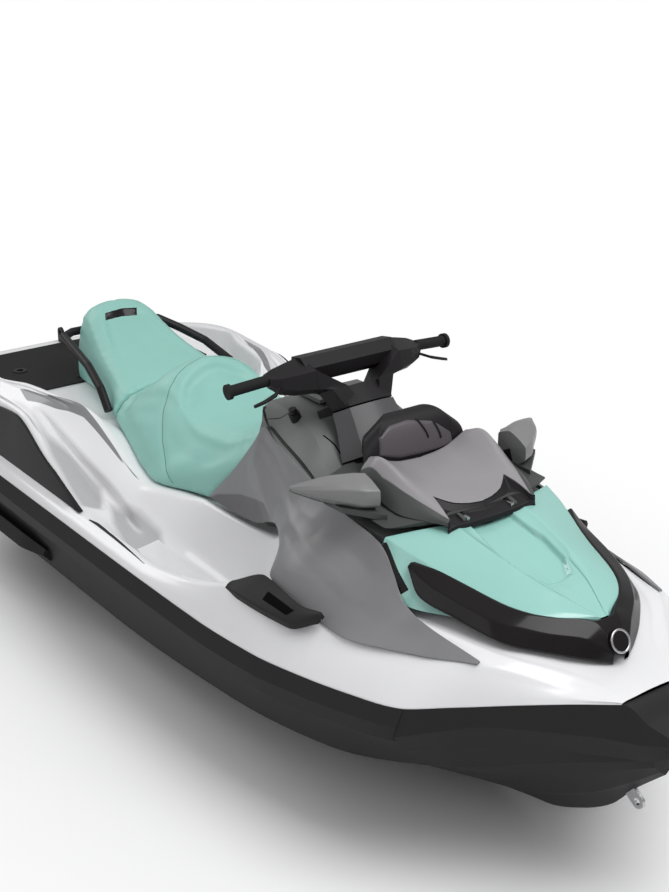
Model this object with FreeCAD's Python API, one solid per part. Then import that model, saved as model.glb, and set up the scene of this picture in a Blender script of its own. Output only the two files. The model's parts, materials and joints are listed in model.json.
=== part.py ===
"""Three-seat personal watercraft.

Hull, deck and covers are bodies strung on fore-and-aft lines. Each line is a list of
(station, breadth, height) points: station is measured forward from the stern, breadth
out from the centreline, height up from the keel. Lengths are in millimetres.
"""
import FreeCAD
import Part
import math
import os
from FreeCAD import Vector

# Overall sizes
STERN_TO_ORIGIN = 1660.0
DRAFT = 220.0
SEAT_GAP = 0.3
MOVING_GAP = 5.0
RUNNING_CLEARANCE = 0.05
FAR = 3000.0

# Hull
HULL_AFT = 290.0
HULL_FORE = 3245.0
DECK_AFT = 0.0
NOSE_EDGE = 3186.0
FLANGE_DROP = 14.0
RAIL_HEIGHT = 84.0
RAIL_PROUD = 26.0
KEEL = [(HULL_AFT, 0, 0), (2550, 0, 0), (2720, 0, 8), (2850, 0, 28), (2980, 0, 86),
        (3080, 0, 156), (3150, 0, 240), (HULL_FORE, 0, 335)]
STRAKE_LOW = [(HULL_AFT, 262, 78), (1500, 262, 80), (2200, 236, 84), (2600, 180, 96),
              (2850, 118, 122), (3050, 66, 196), (3150, 44, 268), (HULL_FORE, 18, 348)]
STRAKE_HIGH = [(HULL_AFT, 282, 78), (1500, 282, 80), (2200, 254, 86), (2600, 196, 100),
               (2850, 130, 128), (3050, 73, 202), (3150, 50, 272), (HULL_FORE, 22, 350)]
CHINE_LOW = [(HULL_AFT, 500, 150), (1500, 500, 153), (2100, 474, 164), (2500, 410, 190),
             (2850, 286, 244), (3050, 160, 300), (3150, 100, 335), (HULL_FORE, 42, 372)]
CHINE_HIGH = [(HULL_AFT, 556, 166), (1490, 562, 171), (2100, 536, 184), (2510, 482, 214),
              (2850, 345, 280), (3050, 195, 340), (3150, 122, 368), (HULL_FORE, 52, 396)]
SHEER = [(DECK_AFT, 556, 404), (720, 592, 410), (1180, 595, 413), (1580, 597, 415),
         (2000, 593, 416), (2290, 582, 428), (2470, 556, 440), (2650, 525, 460),
         (2800, 488, 480), (2900, 402, 500), (3020, 280, 522), (3110, 188, 536),
         (NOSE_EDGE, 115, 546)]

# Bow bumper
BUMPER_AFT = 2815.0
NOSE_TIP = 3312.0
BUMPER_TOP = [(3250, 76, 502), (NOSE_TIP, 40, 470)]
BUMPER_CREST = [(BUMPER_AFT, 512, 412), (2900, 428, 442), (2968, 352, 460), (3087, 240, 464),
                (NOSE_EDGE, 152, 464), (3250, 104, 462), (3290, 62, 462), (NOSE_TIP, 42, 462)]
BUMPER_LOW = [(BUMPER_AFT, 478, 362), (2900, 392, 380), (2968, 322, 392), (3087, 206, 398),
              (NOSE_EDGE, 120, 400), (3250, 74, 404), (NOSE_TIP, 36, 440)]

# Deck lines from the outside in
UNDERSIDE = [(DECK_AFT, 500, 388), (1000, 545, 392), (1400, 545, 345), (2150, 530, 345),
             (2400, 500, 400), (2800, 420, 450), (3020, 230, 500), (NOSE_EDGE, 90, 528)]
BAND = [(DECK_AFT, 516, 446), (500, 566, 452), (1250, 564, 447), (1650, 558, 446),
        (1850, 552, 468), (2000, 541, 505), (2120, 534, 546), (2250, 514, 556),
        (2380, 492, 540), (2500, 464, 540), (2760, 394, 572), (2910, 318, 596),
        (3075, 178, 560), (NOSE_EDGE, 108, 550)]
SHOULDER = [(DECK_AFT, 496, 560), (500, 548, 640), (770, 533, 652), (1000, 540, 552),
            (1250, 540, 452), (1650, 532, 448), (1850, 527, 470), (2000, 516, 507),
            (2120, 506, 550), (2250, 462, 566), (2380, 430, 580), (2600, 352, 616),
            (2700, 332, 622), (2925, 256, 606), (3075, 132, 568), (NOSE_EDGE, 92, 552)]
FLOOR_OUTER = [(DECK_AFT, 470, 588), (500, 518, 668), (770, 500, 655), (1000, 496, 575),
               (1220, 474, 446), (1450, 498, 400), (1600, 512, 378), (2000, 503, 372),
               (2100, 474, 430), (2190, 436, 548), (2380, 390, 590), (2600, 318, 610),
               (2925, 236, 600), (3075, 112, 566), (NOSE_EDGE, 76, 552)]
FLOOR_INNER = [(DECK_AFT, 450, 592), (500, 492, 678), (770, 452, 676), (1000, 420, 604),
               (1220, 398, 512), (1450, 390, 430), (1600, 366, 384), (2000, 360, 374),
               (2080, 356, 430), (2170, 350, 580), (2380, 330, 606), (2600, 280, 616),
               (2925, 200, 602), (3075, 90, 566), (NOSE_EDGE, 60, 553)]
RIDGE = [(DECK_AFT, 425, 598), (350, 455, 664), (524, 467, 687), (650, 425, 698),
         (900, 378, 698), (970, 352, 673), (1310, 344, 517), (1450, 290, 522),
         (1544, 264, 530), (1700, 268, 535), (1950, 292, 566), (2080, 320, 624),
         (2380, 300, 620), (2600, 240, 622), (2925, 160, 603), (3075, 66, 566),
         (NOSE_EDGE, 40, 554)]
PLATEAU = [(DECK_AFT, 404, 598), (524, 432, 600), (650, 396, 600), (900, 330, 600),
           (1000, 262, 592), (1310, 244, 506), (1544, 236, 510), (1700, 238, 520),
           (1950, 250, 566), (2080, 262, 624), (2380, 240, 624), (2600, 180, 626),
           (2925, 120, 604), (3075, 46, 566), (NOSE_EDGE, 24, 555)]

# Side outline of the joint between the seat's front and the console
SEAT_FRONT = [(1306, 135), (1548, 535), (1676, 676), (1750, 786), (1770, 850), (1770, 1305)]

# Seats
SEAT_AFT = 468.0
SEAT_SPLIT = 960.0
SEAT_FORE = 1800.0
SEAT_TOP = [(SEAT_AFT, 0, 872), (500, 0, 886), (545, 0, 878), (610, 0, 836), (700, 0, 786),
            (820, 0, 746), (960, 0, 732), (1040, 0, 770), (1105, 0, 828), (1150, 0, 840),
            (1200, 0, 820), (1290, 0, 758), (1390, 0, 730), (1500, 0, 733), (1640, 0, 782),
            (SEAT_FORE, 0, 880)]
SEAT_CREST = [(SEAT_AFT, 96, 862), (500, 108, 874), (545, 118, 866), (610, 132, 828),
              (700, 150, 780), (820, 168, 740), (960, 172, 712), (1040, 160, 744),
              (1105, 138, 800), (1150, 132, 808), (1200, 136, 786), (1290, 148, 738),
              (1390, 152, 716), (1500, 142, 716), (1640, 118, 764), (SEAT_FORE, 96, 868)]
SEAT_SIDE = [(SEAT_AFT, 144, 800), (545, 162, 800), (610, 176, 772), (700, 198, 732),
             (820, 222, 700), (960, 246, 680), (1060, 246, 688), (1140, 220, 716),
             (1200, 206, 722), (1290, 216, 684), (1390, 222, 640), (1500, 206, 640),
             (1640, 170, 714), (SEAT_FORE, 132, 830)]
SEAT_LOW = [(SEAT_AFT, 156, 604), (600, 176, 616), (730, 204, 634), (914, 258, 634),
            (1060, 296, 600), (1310, 326, 524), (1450, 276, 528), (1544, 250, 537),
            (SEAT_FORE, 180, 800)]
SEAT_TUCK = 20.0

# Console
CONSOLE_AFT = 1540.0
CONSOLE_FORE = 2560.0
CONSOLE_TOP = [(CONSOLE_AFT, 0, 900), (1770, 0, 908), (1900, 0, 908), (2000, 0, 880),
               (2100, 0, 800), (2160, 0, 772), (CONSOLE_FORE, 0, 758)]
CONSOLE_CREST = [(CONSOLE_AFT, 150, 900), (1770, 160, 906), (1900, 160, 898), (2000, 168, 868),
                 (2100, 190, 800), (2160, 200, 772), (CONSOLE_FORE, 200, 758)]
CONSOLE_EDGE = [(CONSOLE_AFT, 184, 890), (1770, 190, 890), (1870, 218, 830), (2150, 266, 790),
                (2300, 276, 766), (CONSOLE_FORE, 272, 750)]
CONSOLE_BASE = [(CONSOLE_AFT, 208, 500), (1870, 226, 520), (2150, 262, 600),
                (2300, 266, 600), (CONSOLE_FORE, 256, 600)]

# Side panels
PANEL_AFT = 1552.0
PANEL_FORE = 2905.0
PANEL_THICKNESS = 14.0
PANEL_TOP = [(PANEL_AFT, 247, 546), (1680, 236, 676), (1766, 222, 786), (1810, 212, 846),
             (1870, 222, 830), (2150, 272, 796), (2300, 292, 776), (2478, 300, 752),
             (2560, 316, 700), (2620, 326, 644), (2700, 338, 632), (PANEL_FORE, 318, 604)]
PANEL_CREASE = [(PANEL_AFT, 252, 543), (1680, 256, 606), (1766, 262, 650), (1870, 276, 690),
                (2041, 312, 700), (2150, 356, 680), (2300, 398, 664), (2460, 398, 628),
                (2620, 374, 604), (2760, 366, 600), (PANEL_FORE, 322, 602)]
PANEL_LOW = [(PANEL_AFT, 256, 540), (1680, 272, 553), (1870, 292, 580), (1980, 308, 626),
             (2041, 324, 646), (2120, 372, 622), (2190, 452, 580), (2300, 470, 566),
             (2430, 466, 556), (2500, 464, 550), (2760, 396, 580), (PANEL_FORE, 328, 600)]

# Side vents
VENT_AFT = 2095.0
VENT_FORE = 2466.0
VENT_LOW = [(VENT_AFT, 540, 536), (2160, 546, 546), (2380, 528, 548), (VENT_FORE, 492, 586)]
VENT_TOP = [(VENT_AFT, 516, 550), (2190, 468, 590), (2380, 486, 588), (VENT_FORE, 478, 600)]
VENT_DEPTH = 24.0
VENT_SLOTS = (2235.0, 2305.0)
VENT_SLOT_LENGTH = 44.0

# Hood and nose grille
HOOD_AFT = 2482.0
HOOD_FORE = 3006.0
HOOD_REAR_CENTRE = 2572.0
HOOD_REAR_CORNER = 2486.0
HOOD_REAR_BREADTH = 292.0
HOOD_CENTRE = [(HOOD_AFT, 0, 800), (2570, 0, 776), (2700, 0, 738), (2840, 0, 700),
               (2880, 0, 700), (HOOD_FORE, 0, 668)]
HOOD_SCOOP = [(HOOD_AFT, 60, 802), (2570, 70, 780), (2700, 66, 744), (2840, 46, 706),
              (2880, 42, 704), (HOOD_FORE, 6, 668)]
HOOD_RIDGE = [(HOOD_AFT, 110, 802), (2570, 118, 786), (2700, 108, 758), (2840, 82, 722),
              (HOOD_FORE, 10, 669)]
HOOD_EDGE = [(HOOD_AFT, 290, 772), (2550, 277, 754), (2600, 262, 741), (2650, 246, 726),
             (2700, 227, 715), (2750, 212, 704), (2800, 198, 695), (2850, 181, 687),
             (2900, 154, 681), (2950, 108, 676), (2985, 50, 671), (HOOD_FORE, 14, 667)]
HOOD_LOW = [(HOOD_AFT, 298, 740), (2560, 314, 694), (2620, 322, 636), (2740, 262, 634),
            (2850, 176, 622), (2950, 100, 612), (HOOD_FORE, 12, 606)]
HOOD_BOTTOM = 560.0
GRILLE_AFT = 2592.0
GRILLE_FORE = 3072.0
GRILLE_TOP = [(GRILLE_AFT, 286, 736), (2650, 250, 727), (2700, 231, 716), (2750, 216, 706),
              (2800, 202, 697), (2850, 186, 689), (2900, 160, 683), (2950, 114, 678),
              (3000, 46, 672), (3040, 30, 644), (GRILLE_FORE, 20, 606)]
GRILLE_STEP = [(GRILLE_AFT, 292, 730), (2650, 284, 706), (2750, 266, 684), (2850, 234, 666),
               (2950, 166, 652), (3020, 84, 640), (GRILLE_FORE, 26, 600)]
GRILLE_LOW = [(GRILLE_AFT, 296, 726), (2650, 308, 672), (2754, 282, 648), (2890, 242, 625),
              (3000, 142, 604), (3050, 70, 586), (GRILLE_FORE, 28, 576)]
BADGE_CENTRE = (3058.0, 622.0)
BADGE_RADIUS = 32.0
BADGE_THICKNESS = 9.0

# Storage lid
LID_HINGE = (2568.0, 794.0)
LID_PIN_RADIUS = 4.0
LID_EAR_RADIUS = 8.0
LID_EAR_INNER = 84.0
LID_EAR_WIDTH = 12.0
LID_BRACKET_WIDTH = 10.0
COWL_AFT = 2272.0
COWL_FORE = 2584.0
COWL_SKIN = 10.0
COWL_CENTRE = [(COWL_AFT, 0, 852), (2380, 0, 842), (2500, 0, 824), (COWL_FORE, 0, 806)]
COWL_VALLEY = [(COWL_AFT, 90, 858), (2380, 96, 848), (2500, 84, 828), (COWL_FORE, 70, 807)]
COWL_PEAK = [(COWL_AFT, 176, 900), (2325, 183, 918), (2450, 166, 866), (COWL_FORE, 138, 812)]
COWL_SIDE = [(COWL_AFT, 212, 846), (2325, 232, 838), (2450, 226, 806), (COWL_FORE, 156, 800)]
TRIM_AFT = 2170.0
TRIM_FORE = 2546.0
TRIM_EDGE = [(TRIM_AFT, 272, 810), (2300, 286, 806), (2480, 286, 792), (TRIM_FORE, 150, 806)]
TRIM_CROWN = [(TRIM_AFT, 180, 840), (2300, 190, 834), (2480, 176, 806), (TRIM_FORE, 100, 809)]
TRIM_UNDER = 788.0

# Gauge hood: station, half widths of side and crown, heights of foot, side and crown
GAUGE_RINGS = [(2165, 120, 56, 842, 888, 945), (2195, 138, 68, 840, 922, 972),
               (2245, 170, 118, 838, 905, 946), (2268, 160, 112, 836, 860, 868)]
GAUGE_RECESS = (2188.0, 80.0, 860.0, 912.0)
DISPLAY_MARGIN = 5.0
DISPLAY_DEPTH = 6.0

# Mirrors: breadth, depth, low and high of each ring; the flat aft face sweeps back outward
MIRROR_AFT = 2310.0
MIRROR_SWEEP = 0.326
MIRROR_RINGS = [(262, 122, 796, 908), (316, 106, 812, 904), (380, 72, 832, 890),
                (430, 22, 854, 870)]
MIRROR_OUTLINE = [(0, 0.5), (0.45, 1), (1, 0.45), (1, -0.4), (0.6, -1), (0, -0.55)]
GLASS_CORNERS = [(274, 824), (392, 850), (392, 872), (274, 882)]
GLASS_PROUD = 2.0
GLASS_DEPTH = 8.0

# Storage bin and glovebox
BIN_AFT = 2200.0
BIN_FORE = 2450.0
BIN_HALF_WIDTH = 150.0
BIN_FLOOR = 480.0
BIN_WALL = 6.0
GLOVEBOX_AFT = 1794.0
GLOVEBOX_FORE = 1882.0
GLOVEBOX_HALF_WIDTH = 58.0
GLOVEBOX_FLOOR = 760.0
GLOVEBOX_LID_RIM = 13.0
GLOVEBOX_LID_THICKNESS = 12.0
GLOVEBOX_HINGE = (1904.0, 918.0)
GLOVEBOX_PIN_RADIUS = 2.5
GLOVEBOX_KNUCKLE_RADIUS = 6.0
GLOVEBOX_KNUCKLE_LENGTH = 50.0
GLOVEBOX_LUG_WIDTH = 6.0

# Steering
COLUMN_TILT = 30.0
BAR_STATION = 1925.0
BAR_HEIGHT = 1032.0
SEAM_OFFSET = 130.0
COLUMN_RADIUS = 14.0
COLUMN_DEPTH = 90.0
FOOT_OUTLINE = [(88, 28), (68, 78), (20, 108), (-44, 60)]
NECK_RINGS = [(-150, 1.3, 14), (-60, 1.08, 6), (0, 1, 0)]
NECK_SPARE = 0.09
LIFT_RADIUS = 387.0
LIFT_HEIGHT = 858.0
LIFT_HALF_WIDTH = 150.0
FOOT_REACH = 116.0
FOOT_SWEEP = 70.0
BAR_RADIUS = 11.0
BAR_SET_BACK = 11.0
COVER_TOP = 60.0
LEG_ROOT = [(64, 30), (60, 80), (18, 104), (-40, 58), (-40, 30)]
LEG_KNEE = [(64, 58), (62, 110), (14, 126), (-34, 96), (-34, 58)]
GUARD_RINGS = [(150, [(64, 28), (78, -26), (40, -50), (-26, -40), (-20, 48)]),
               (205, [(50, 20), (62, -22), (34, -46), (-28, -34), (-22, 36)]),
               (245, [(30, 12), (42, -18), (18, -40), (-28, -26), (-24, 26)]),
               (272, [(8, 10), (16, -8), (4, -20), (-26, -16), (-26, 14)])]
PAD_OUTLINE = [(-46, -10), (-38, 44), (6, 52), (40, 26), (34, -8), (14, -27), (-30, -27)]
PAD_HALF_WIDTH = 165.0
GRIP_INNER = 274.0
GRIP_OUTER = 398.0
GRIP_RADIUS = 16.5

# Grab handle
HANDLE_RADIUS = 15.0
HANDLE_PATH = [(930, 268, 640), (870, 262, 702), (740, 240, 745), (600, 218, 762),
               (474, 196, 772), (448, 150, 775)]

# Eyes and deck fittings
EYE_RADIUS = 20.0
EYE_HOLE = 10.0
EYE_WIDTH = 10.0
FITTING_PLACE = (280.0, 292.0)
FITTING_RADIUS = 26.0
FITTING_HOLE = 12.0
FITTING_HEIGHT = 8.0
MAT_TOP = 605.0

# Jet drive
PUMP_HEIGHT = 150.0
PUMP_RADIUS = 80.0
PUMP_WALL = 12.0
PUMP_AFT = 236.0
PUMP_FORE = 470.0
SHAFT_RADIUS = 13.0
OUTLET_AFT = 190.0
OUTLET_RADIUS = 50.0
OUTLET_BORE = 42.0
NOZZLE_PIVOT = 200.0
NOZZLE_FORE = 214.0
NOZZLE_AFT = 92.0
NOZZLE_MOUTH = 62.0
NOZZLE_OUTLET = 42.0
NOZZLE_WALL = 7.0
NOZZLE_PIN = 6.0
GATE_PIVOT = 256.0
GATE_RADIUS = 186.0
GATE_SKIN = 9.0
GATE_ARM_INNER = 104.0
GATE_ARM_WIDTH = 8.0
GATE_PIN = 8.0
GATE_LOW_ANGLE = 25.0
GATE_HIGH_ANGLE = 84.0
INTAKE_AFT = 590.0
INTAKE_FORE = 960.0
ENGINE_AFT = 1080.0
ENGINE_FORE = 1660.0
ENGINE_HALF_WIDTH = 190.0
ENGINE_LOW = 110.0
ENGINE_HIGH = 460.0
ENGINE_ROOM = 50.0


def at(station, breadth, height):
    """Point of the model for a station, a breadth to port and a height above the keel."""
    return Vector(station - STERN_TO_ORIGIN, breadth, height - DRAFT)


def slopes(xs, ys):
    """Slopes that carry a smooth curve through the points with no overshoot."""
    steps = [b - a for a, b in zip(xs, xs[1:])]
    rises = [(b - a) / h for a, b, h in zip(ys, ys[1:], steps)]
    inner = []
    for before, after, h0, h1 in zip(rises, rises[1:], steps, steps[1:]):
        if before * after <= 0:
            inner.append(0.0)
        else:
            w0 = 2 * h1 + h0
            w1 = h1 + 2 * h0
            inner.append((w0 + w1) / (w0 / before + w1 / after))
    return [rises[0]] + inner + [rises[-1]]


def shaped(line):
    """The line with its slopes: (station, breadth, height, breadth slope, height slope)."""
    if len(line[0]) == 5:
        return list(line)
    xs = [p[0] for p in line]
    across = slopes(xs, [p[1] for p in line])
    upward = slopes(xs, [p[2] for p in line])
    return [(*p, a, u) for p, a, u in zip(line, across, upward)]


def point_on(line, station):
    """Point and slopes of a line at a station."""
    full = shaped(line)
    start, end = next((p, q) for p, q in zip(full, full[1:]) if station <= q[0] or q is full[-1])
    h = end[0] - start[0]
    t = (station - start[0]) / h
    values = []
    rates = []
    for k in (1, 2):
        rise = end[k] - start[k]
        c1 = start[k + 2] * h
        c2 = 3 * rise - (2 * start[k + 2] + end[k + 2]) * h
        c3 = (start[k + 2] + end[k + 2]) * h - 2 * rise
        values.append(start[k] + t * (c1 + t * (c2 + t * c3)))
        rates.append((c1 + t * (2 * c2 + 3 * t * c3)) / h)
    return (station, *values, *rates)


def moved(line, outward, upward):
    """The same line, set outward and upward."""
    return [(p[0], p[1] + outward, p[2] + upward, *p[3:]) for p in line]


def trimmed(line, start, end):
    """The stretch of a line between two stations, in the same shape."""
    inside = [p for p in shaped(line) if start < p[0] < end]
    return [point_on(line, start)] + inside + [point_on(line, end)]


def extended(line, end):
    """The line with a straight run to one more point."""
    last = line[-1]
    run = end[0] - last[0]
    return line + [(*end, (end[1] - last[1]) / run, (end[2] - last[2]) / run)]


def line_edge(line, side):
    """Smooth edge along a line; side is -1 for starboard and 1 for port."""
    full = shaped(line)
    xs = [p[0] for p in full]
    poles = [at(xs[0], side * full[0][1], full[0][2])]
    for i in range(len(full) - 1):
        third = (xs[i + 1] - xs[i]) / 3
        for k, sign in ((i, 1), (i + 1, -1)):
            s, b, h, across, upward = full[k]
            poles.append(at(s, side * b, h) + Vector(1, side * across, upward) * (sign * third))
    poles.append(at(xs[-1], side * full[-1][1], full[-1][2]))
    curve = Part.BSplineCurve()
    mults = [4] + [2] * (len(xs) - 2) + [4]
    curve.buildFromPolesMultsKnots(poles, mults, xs, False, 3)
    return curve.toShape()


def ring_body(edges):
    """Solid between a ring of edges that all run from one station to another."""
    ring = list(zip(edges, edges[1:] + edges[:1]))
    faces = [Part.makeRuledSurface(a, b) for a, b in ring]
    for end in (0, -1):
        corners = [edge.Vertexes[end].Point for edge in edges]
        faces.append(Part.Face(Part.makePolygon(corners + corners[:1])))
    shell = Part.makeShell(faces)
    shell.sewShape()
    solid = Part.makeSolid(shell)
    if solid.Volume < 0:
        solid.reverse()
    return solid


def full_body(lines):
    """Body with the same lines on both sides; a centreline is used once."""
    starboard = [line_edge(line, -1) for line in lines]
    port = [line_edge(line, 1) for line in reversed(lines) if any(p[1] for p in line)]
    return ring_body(starboard + port)


def side_body(lines):
    """Body on the starboard side only."""
    return ring_body([line_edge(line, -1) for line in lines])


def mirrored(shape):
    return shape.mirror(Vector(0, 0, 0), Vector(0, 1, 0))


def pair(shape):
    """The starboard piece with its mirror image."""
    return Part.makeCompound([shape, mirrored(shape)])


def box(station, breadth, height):
    """Box from three (low, high) pairs."""
    corner = at(station[0], breadth[0], height[0])
    return Part.makeBox(station[1] - station[0], breadth[1] - breadth[0],
                        height[1] - height[0], corner)


def bar(start, end, radius):
    return Part.makeCylinder(radius, (end - start).Length, start, end - start)


def prism(outline, breadth, width):
    """Side outline of (station, height) corners, carried across the craft."""
    corners = [at(s, breadth, h) for s, h in outline]
    return Part.Face(Part.makePolygon(corners + corners[:1])).extrude(Vector(0, width, 0))


def loft(sections, ruled=False):
    wires = [Part.makePolygon(section + section[:1]) for section in sections]
    return Part.makeLoft(wires, True, ruled)


def solids_of(shape):
    """Solids of a cut result, without slivers."""
    return [solid for solid in shape.Solids if solid.Volume > 500]


def save(node, shape):
    solids = solids_of(shape)
    result = solids[0] if len(solids) == 1 else Part.makeCompound(solids)
    result.exportStep("parts/" + node + ".step")
    print(node, len(solids), round(result.Volume / 1e6, 3), result.isValid())


def tube_along(points, radius):
    """Round tube along straight runs joined by balls at the bends."""
    pieces = [bar(a, b, radius) for a, b in zip(points, points[1:])]
    pieces += [Part.makeSphere(radius, p) for p in points[1:-1]]
    return pieces[0].multiFuse(pieces[1:])


def seat_front_block(offset):
    """Everything ahead of the joint at the seat's front, moved forward by offset."""
    joint = [(s + offset, h) for s, h in SEAT_FRONT]
    corners = joint + [(FAR, joint[-1][1]), (FAR, joint[0][1])]
    return prism(corners, -FAR / 2, FAR)


# Column axis of the steering: up and aft
tilt = math.radians(COLUMN_TILT)
COLUMN_AXIS = Vector(-math.sin(tilt), 0, math.cos(tilt))
BAR_CENTRE = at(BAR_STATION, 0, BAR_HEIGHT)
SEAM_POINT = BAR_CENTRE - COLUMN_AXIS * SEAM_OFFSET
AHEAD = Vector(COLUMN_AXIS.z, 0, -COLUMN_AXIS.x)


def above_seam(offset):
    """Everything above the plane of the steering's seam."""
    base = Part.makeBox(FAR, FAR, FAR, Vector(-FAR / 2, -FAR / 2, 0))
    turn = FreeCAD.Rotation(Vector(0, 0, 1), COLUMN_AXIS)
    base.Placement = FreeCAD.Placement(SEAM_POINT + COLUMN_AXIS * offset, turn)
    return base


def on_column(ahead, reach, breadth=0):
    """Point in the frame of the steering column, from the middle of the seam."""
    return SEAM_POINT + AHEAD * ahead + COLUMN_AXIS * reach + Vector(0, breadth, 0)


def turning_room():
    """Space above the seam that the cover's foot sweeps when the bar is turned."""
    low = -MOVING_GAP
    disc = bar(on_column(0, low), on_column(0, SEAM_OFFSET), FOOT_REACH + MOVING_GAP)
    aft = -FOOT_SWEEP - MOVING_GAP
    corners = [on_column(aft, low, -FAR / 2), on_column(FAR, low, -FAR / 2),
               on_column(FAR, SEAM_OFFSET, -FAR / 2), on_column(aft, SEAM_OFFSET, -FAR / 2)]
    slab = Part.Face(Part.makePolygon(corners + corners[:1])).extrude(Vector(0, FAR, 0))
    return disc.common(slab)


def engine_bay():
    room = ENGINE_HALF_WIDTH + ENGINE_ROOM
    return box((ENGINE_AFT - ENGINE_ROOM, ENGINE_FORE + ENGINE_ROOM), (-room, room),
               (ENGINE_LOW - SEAT_GAP, ENGINE_HIGH + SEAT_GAP + 20))


def make_hull():
    flange = trimmed(SHEER, HULL_AFT, NOSE_EDGE)
    flange_low = extended(moved(flange, 0, -RAIL_HEIGHT), (HULL_FORE, 62, 412))
    flange_top = extended(moved(flange, 0, -FLANGE_DROP - SEAT_GAP), (HULL_FORE, 62, 440))
    inner = moved(trimmed(UNDERSIDE, HULL_AFT, NOSE_EDGE), 0, -SEAT_GAP)
    inner_top = extended(inner, (HULL_FORE, 48, 438))
    hull = full_body([KEEL, STRAKE_LOW, STRAKE_HIGH, CHINE_LOW, CHINE_HIGH,
                      flange_low, flange_top, inner_top])
    wet = PUMP_RADIUS + PUMP_WALL
    tunnel = bar(at(HULL_AFT - 10, 0, PUMP_HEIGHT), at(PUMP_FORE, 0, PUMP_HEIGHT),
                 wet + SEAT_GAP)
    notch = box((HULL_AFT - 10, PUMP_FORE), (-wet - SEAT_GAP, wet + SEAT_GAP),
                (-50, PUMP_HEIGHT))
    duct = bar(at(PUMP_FORE - 10, 0, PUMP_HEIGHT), at(660, 0, PUMP_HEIGHT), PUMP_RADIUS)
    roof = PUMP_HEIGHT + PUMP_RADIUS
    intake = prism([(INTAKE_AFT, -60), (INTAKE_FORE, -60), (INTAKE_FORE - 40, 20),
                    (690, roof - 12), (INTAKE_AFT, roof - 4)], -PUMP_RADIUS, 2 * PUMP_RADIUS)
    shaft_way = bar(at(600, 0, PUMP_HEIGHT), at(ENGINE_AFT, 0, PUMP_HEIGHT), 24)
    return hull.cut([engine_bay(), tunnel, notch, duct, intake, shaft_way])


def make_deck():
    under = trimmed(moved(SHEER, 0, -FLANGE_DROP), DECK_AFT, NOSE_EDGE)
    deck = full_body([UNDERSIDE, under, SHEER, BAND, SHOULDER, FLOOR_OUTER, FLOOR_INNER, RIDGE,
                      PLATEAU])
    return deck.cut(engine_bay())


def make_rail():
    line = trimmed(SHEER, DECK_AFT, BUMPER_AFT - SEAT_GAP)
    return side_body([moved(line, SEAT_GAP, 0), moved(line, RAIL_PROUD, -0.5 * RAIL_HEIGHT),
                      moved(line, 0.8 * RAIL_PROUD, 0.1 - RAIL_HEIGHT),
                      moved(line, SEAT_GAP, 0.1 - RAIL_HEIGHT)])


def make_bumper(hull):
    """Bumper along both sides of the bow, joined to the nose ahead of the deck."""
    top = moved(trimmed(SHEER, BUMPER_AFT, NOSE_EDGE), SEAT_GAP, 0)
    low = trimmed(BUMPER_LOW, BUMPER_AFT, NOSE_EDGE)
    crest = trimmed(BUMPER_CREST, BUMPER_AFT, NOSE_EDGE)
    flange = moved(top, 0, 12 - RAIL_HEIGHT)
    side = side_body([low, crest, top, flange, moved(low, -60, 12)]).cut(hull)
    ahead = [trimmed(line, NOSE_EDGE, NOSE_TIP) for line in (BUMPER_LOW, BUMPER_CREST)]
    nose = full_body(ahead + [top[-1:] + shaped(BUMPER_TOP)])
    return nose.cut(hull).multiFuse([side, mirrored(side)])


def make_seats(deck, console, panels):
    under = []
    for floor in moved(trimmed(PLATEAU, SEAT_AFT, SEAT_FORE), -SEAT_TUCK, SEAT_GAP):
        edge = point_on(moved(SEAT_LOW, -SEAT_TUCK, 0), floor[0])
        narrow = min(floor, edge, key=lambda point: point[1])
        under.append((floor[0], narrow[1], floor[2], narrow[3], floor[4]))
    whole = full_body([under, SEAT_LOW, SEAT_SIDE, SEAT_CREST, SEAT_TOP])
    whole = whole.cut([deck, console, seat_front_block(-SEAT_GAP)] + panels)
    split = box((-FAR, SEAT_SPLIT), (-FAR, FAR), (0, FAR))
    gap = split.translated(Vector(SEAT_GAP, 0, 0))
    return whole.cut(gap), whole.common(split)


def hood_rear(offset):
    """Upright cylinder whose front wall is the hood's curved rear edge."""
    sag = HOOD_REAR_CENTRE - HOOD_REAR_CORNER
    radius = (HOOD_REAR_BREADTH ** 2 + sag ** 2) / (2 * sag)
    centre = at(HOOD_REAR_CENTRE - radius, 0, 400)
    return Part.makeCylinder(radius + offset, FAR, centre)


def make_console(deck):
    body = full_body([CONSOLE_BASE, CONSOLE_EDGE, CONSOLE_CREST, CONSOLE_TOP])
    body = body.common(seat_front_block(0)).common(hood_rear(-SEAT_GAP)).cut(deck)
    well = box((BIN_AFT - BIN_WALL - SEAT_GAP, BIN_FORE + BIN_WALL + SEAT_GAP),
               (-BIN_HALF_WIDTH - BIN_WALL - SEAT_GAP, BIN_HALF_WIDTH + BIN_WALL + SEAT_GAP),
               (BIN_FLOOR - BIN_WALL, FAR))
    glovebox = box((GLOVEBOX_AFT, GLOVEBOX_FORE), (-GLOVEBOX_HALF_WIDTH, GLOVEBOX_HALF_WIDTH),
                   (GLOVEBOX_FLOOR, FAR))
    column_room = bar(SEAM_POINT, SEAM_POINT - COLUMN_AXIS * (COLUMN_DEPTH + MOVING_GAP),
                      COLUMN_RADIUS + MOVING_GAP)
    body = body.cut([well, glovebox, column_room, turning_room()])
    return body.multiFuse(glovebox_lugs()), well


def glovebox_lugs():
    """Two lugs on the console with the pin of the glovebox lid between them."""
    s, h = GLOVEBOX_HINGE
    reach = GLOVEBOX_KNUCKLE_LENGTH / 2 + 2
    pieces = [bar(at(s, -reach - 1, h), at(s, reach + 1, h), GLOVEBOX_PIN_RADIUS)]
    for side in (-1, 1):
        low = reach if side > 0 else -reach - GLOVEBOX_LUG_WIDTH
        pieces.append(box((s - 5, s + 5), (low, low + GLOVEBOX_LUG_WIDTH), (h - 30, h + 5)))
    return pieces


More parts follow.
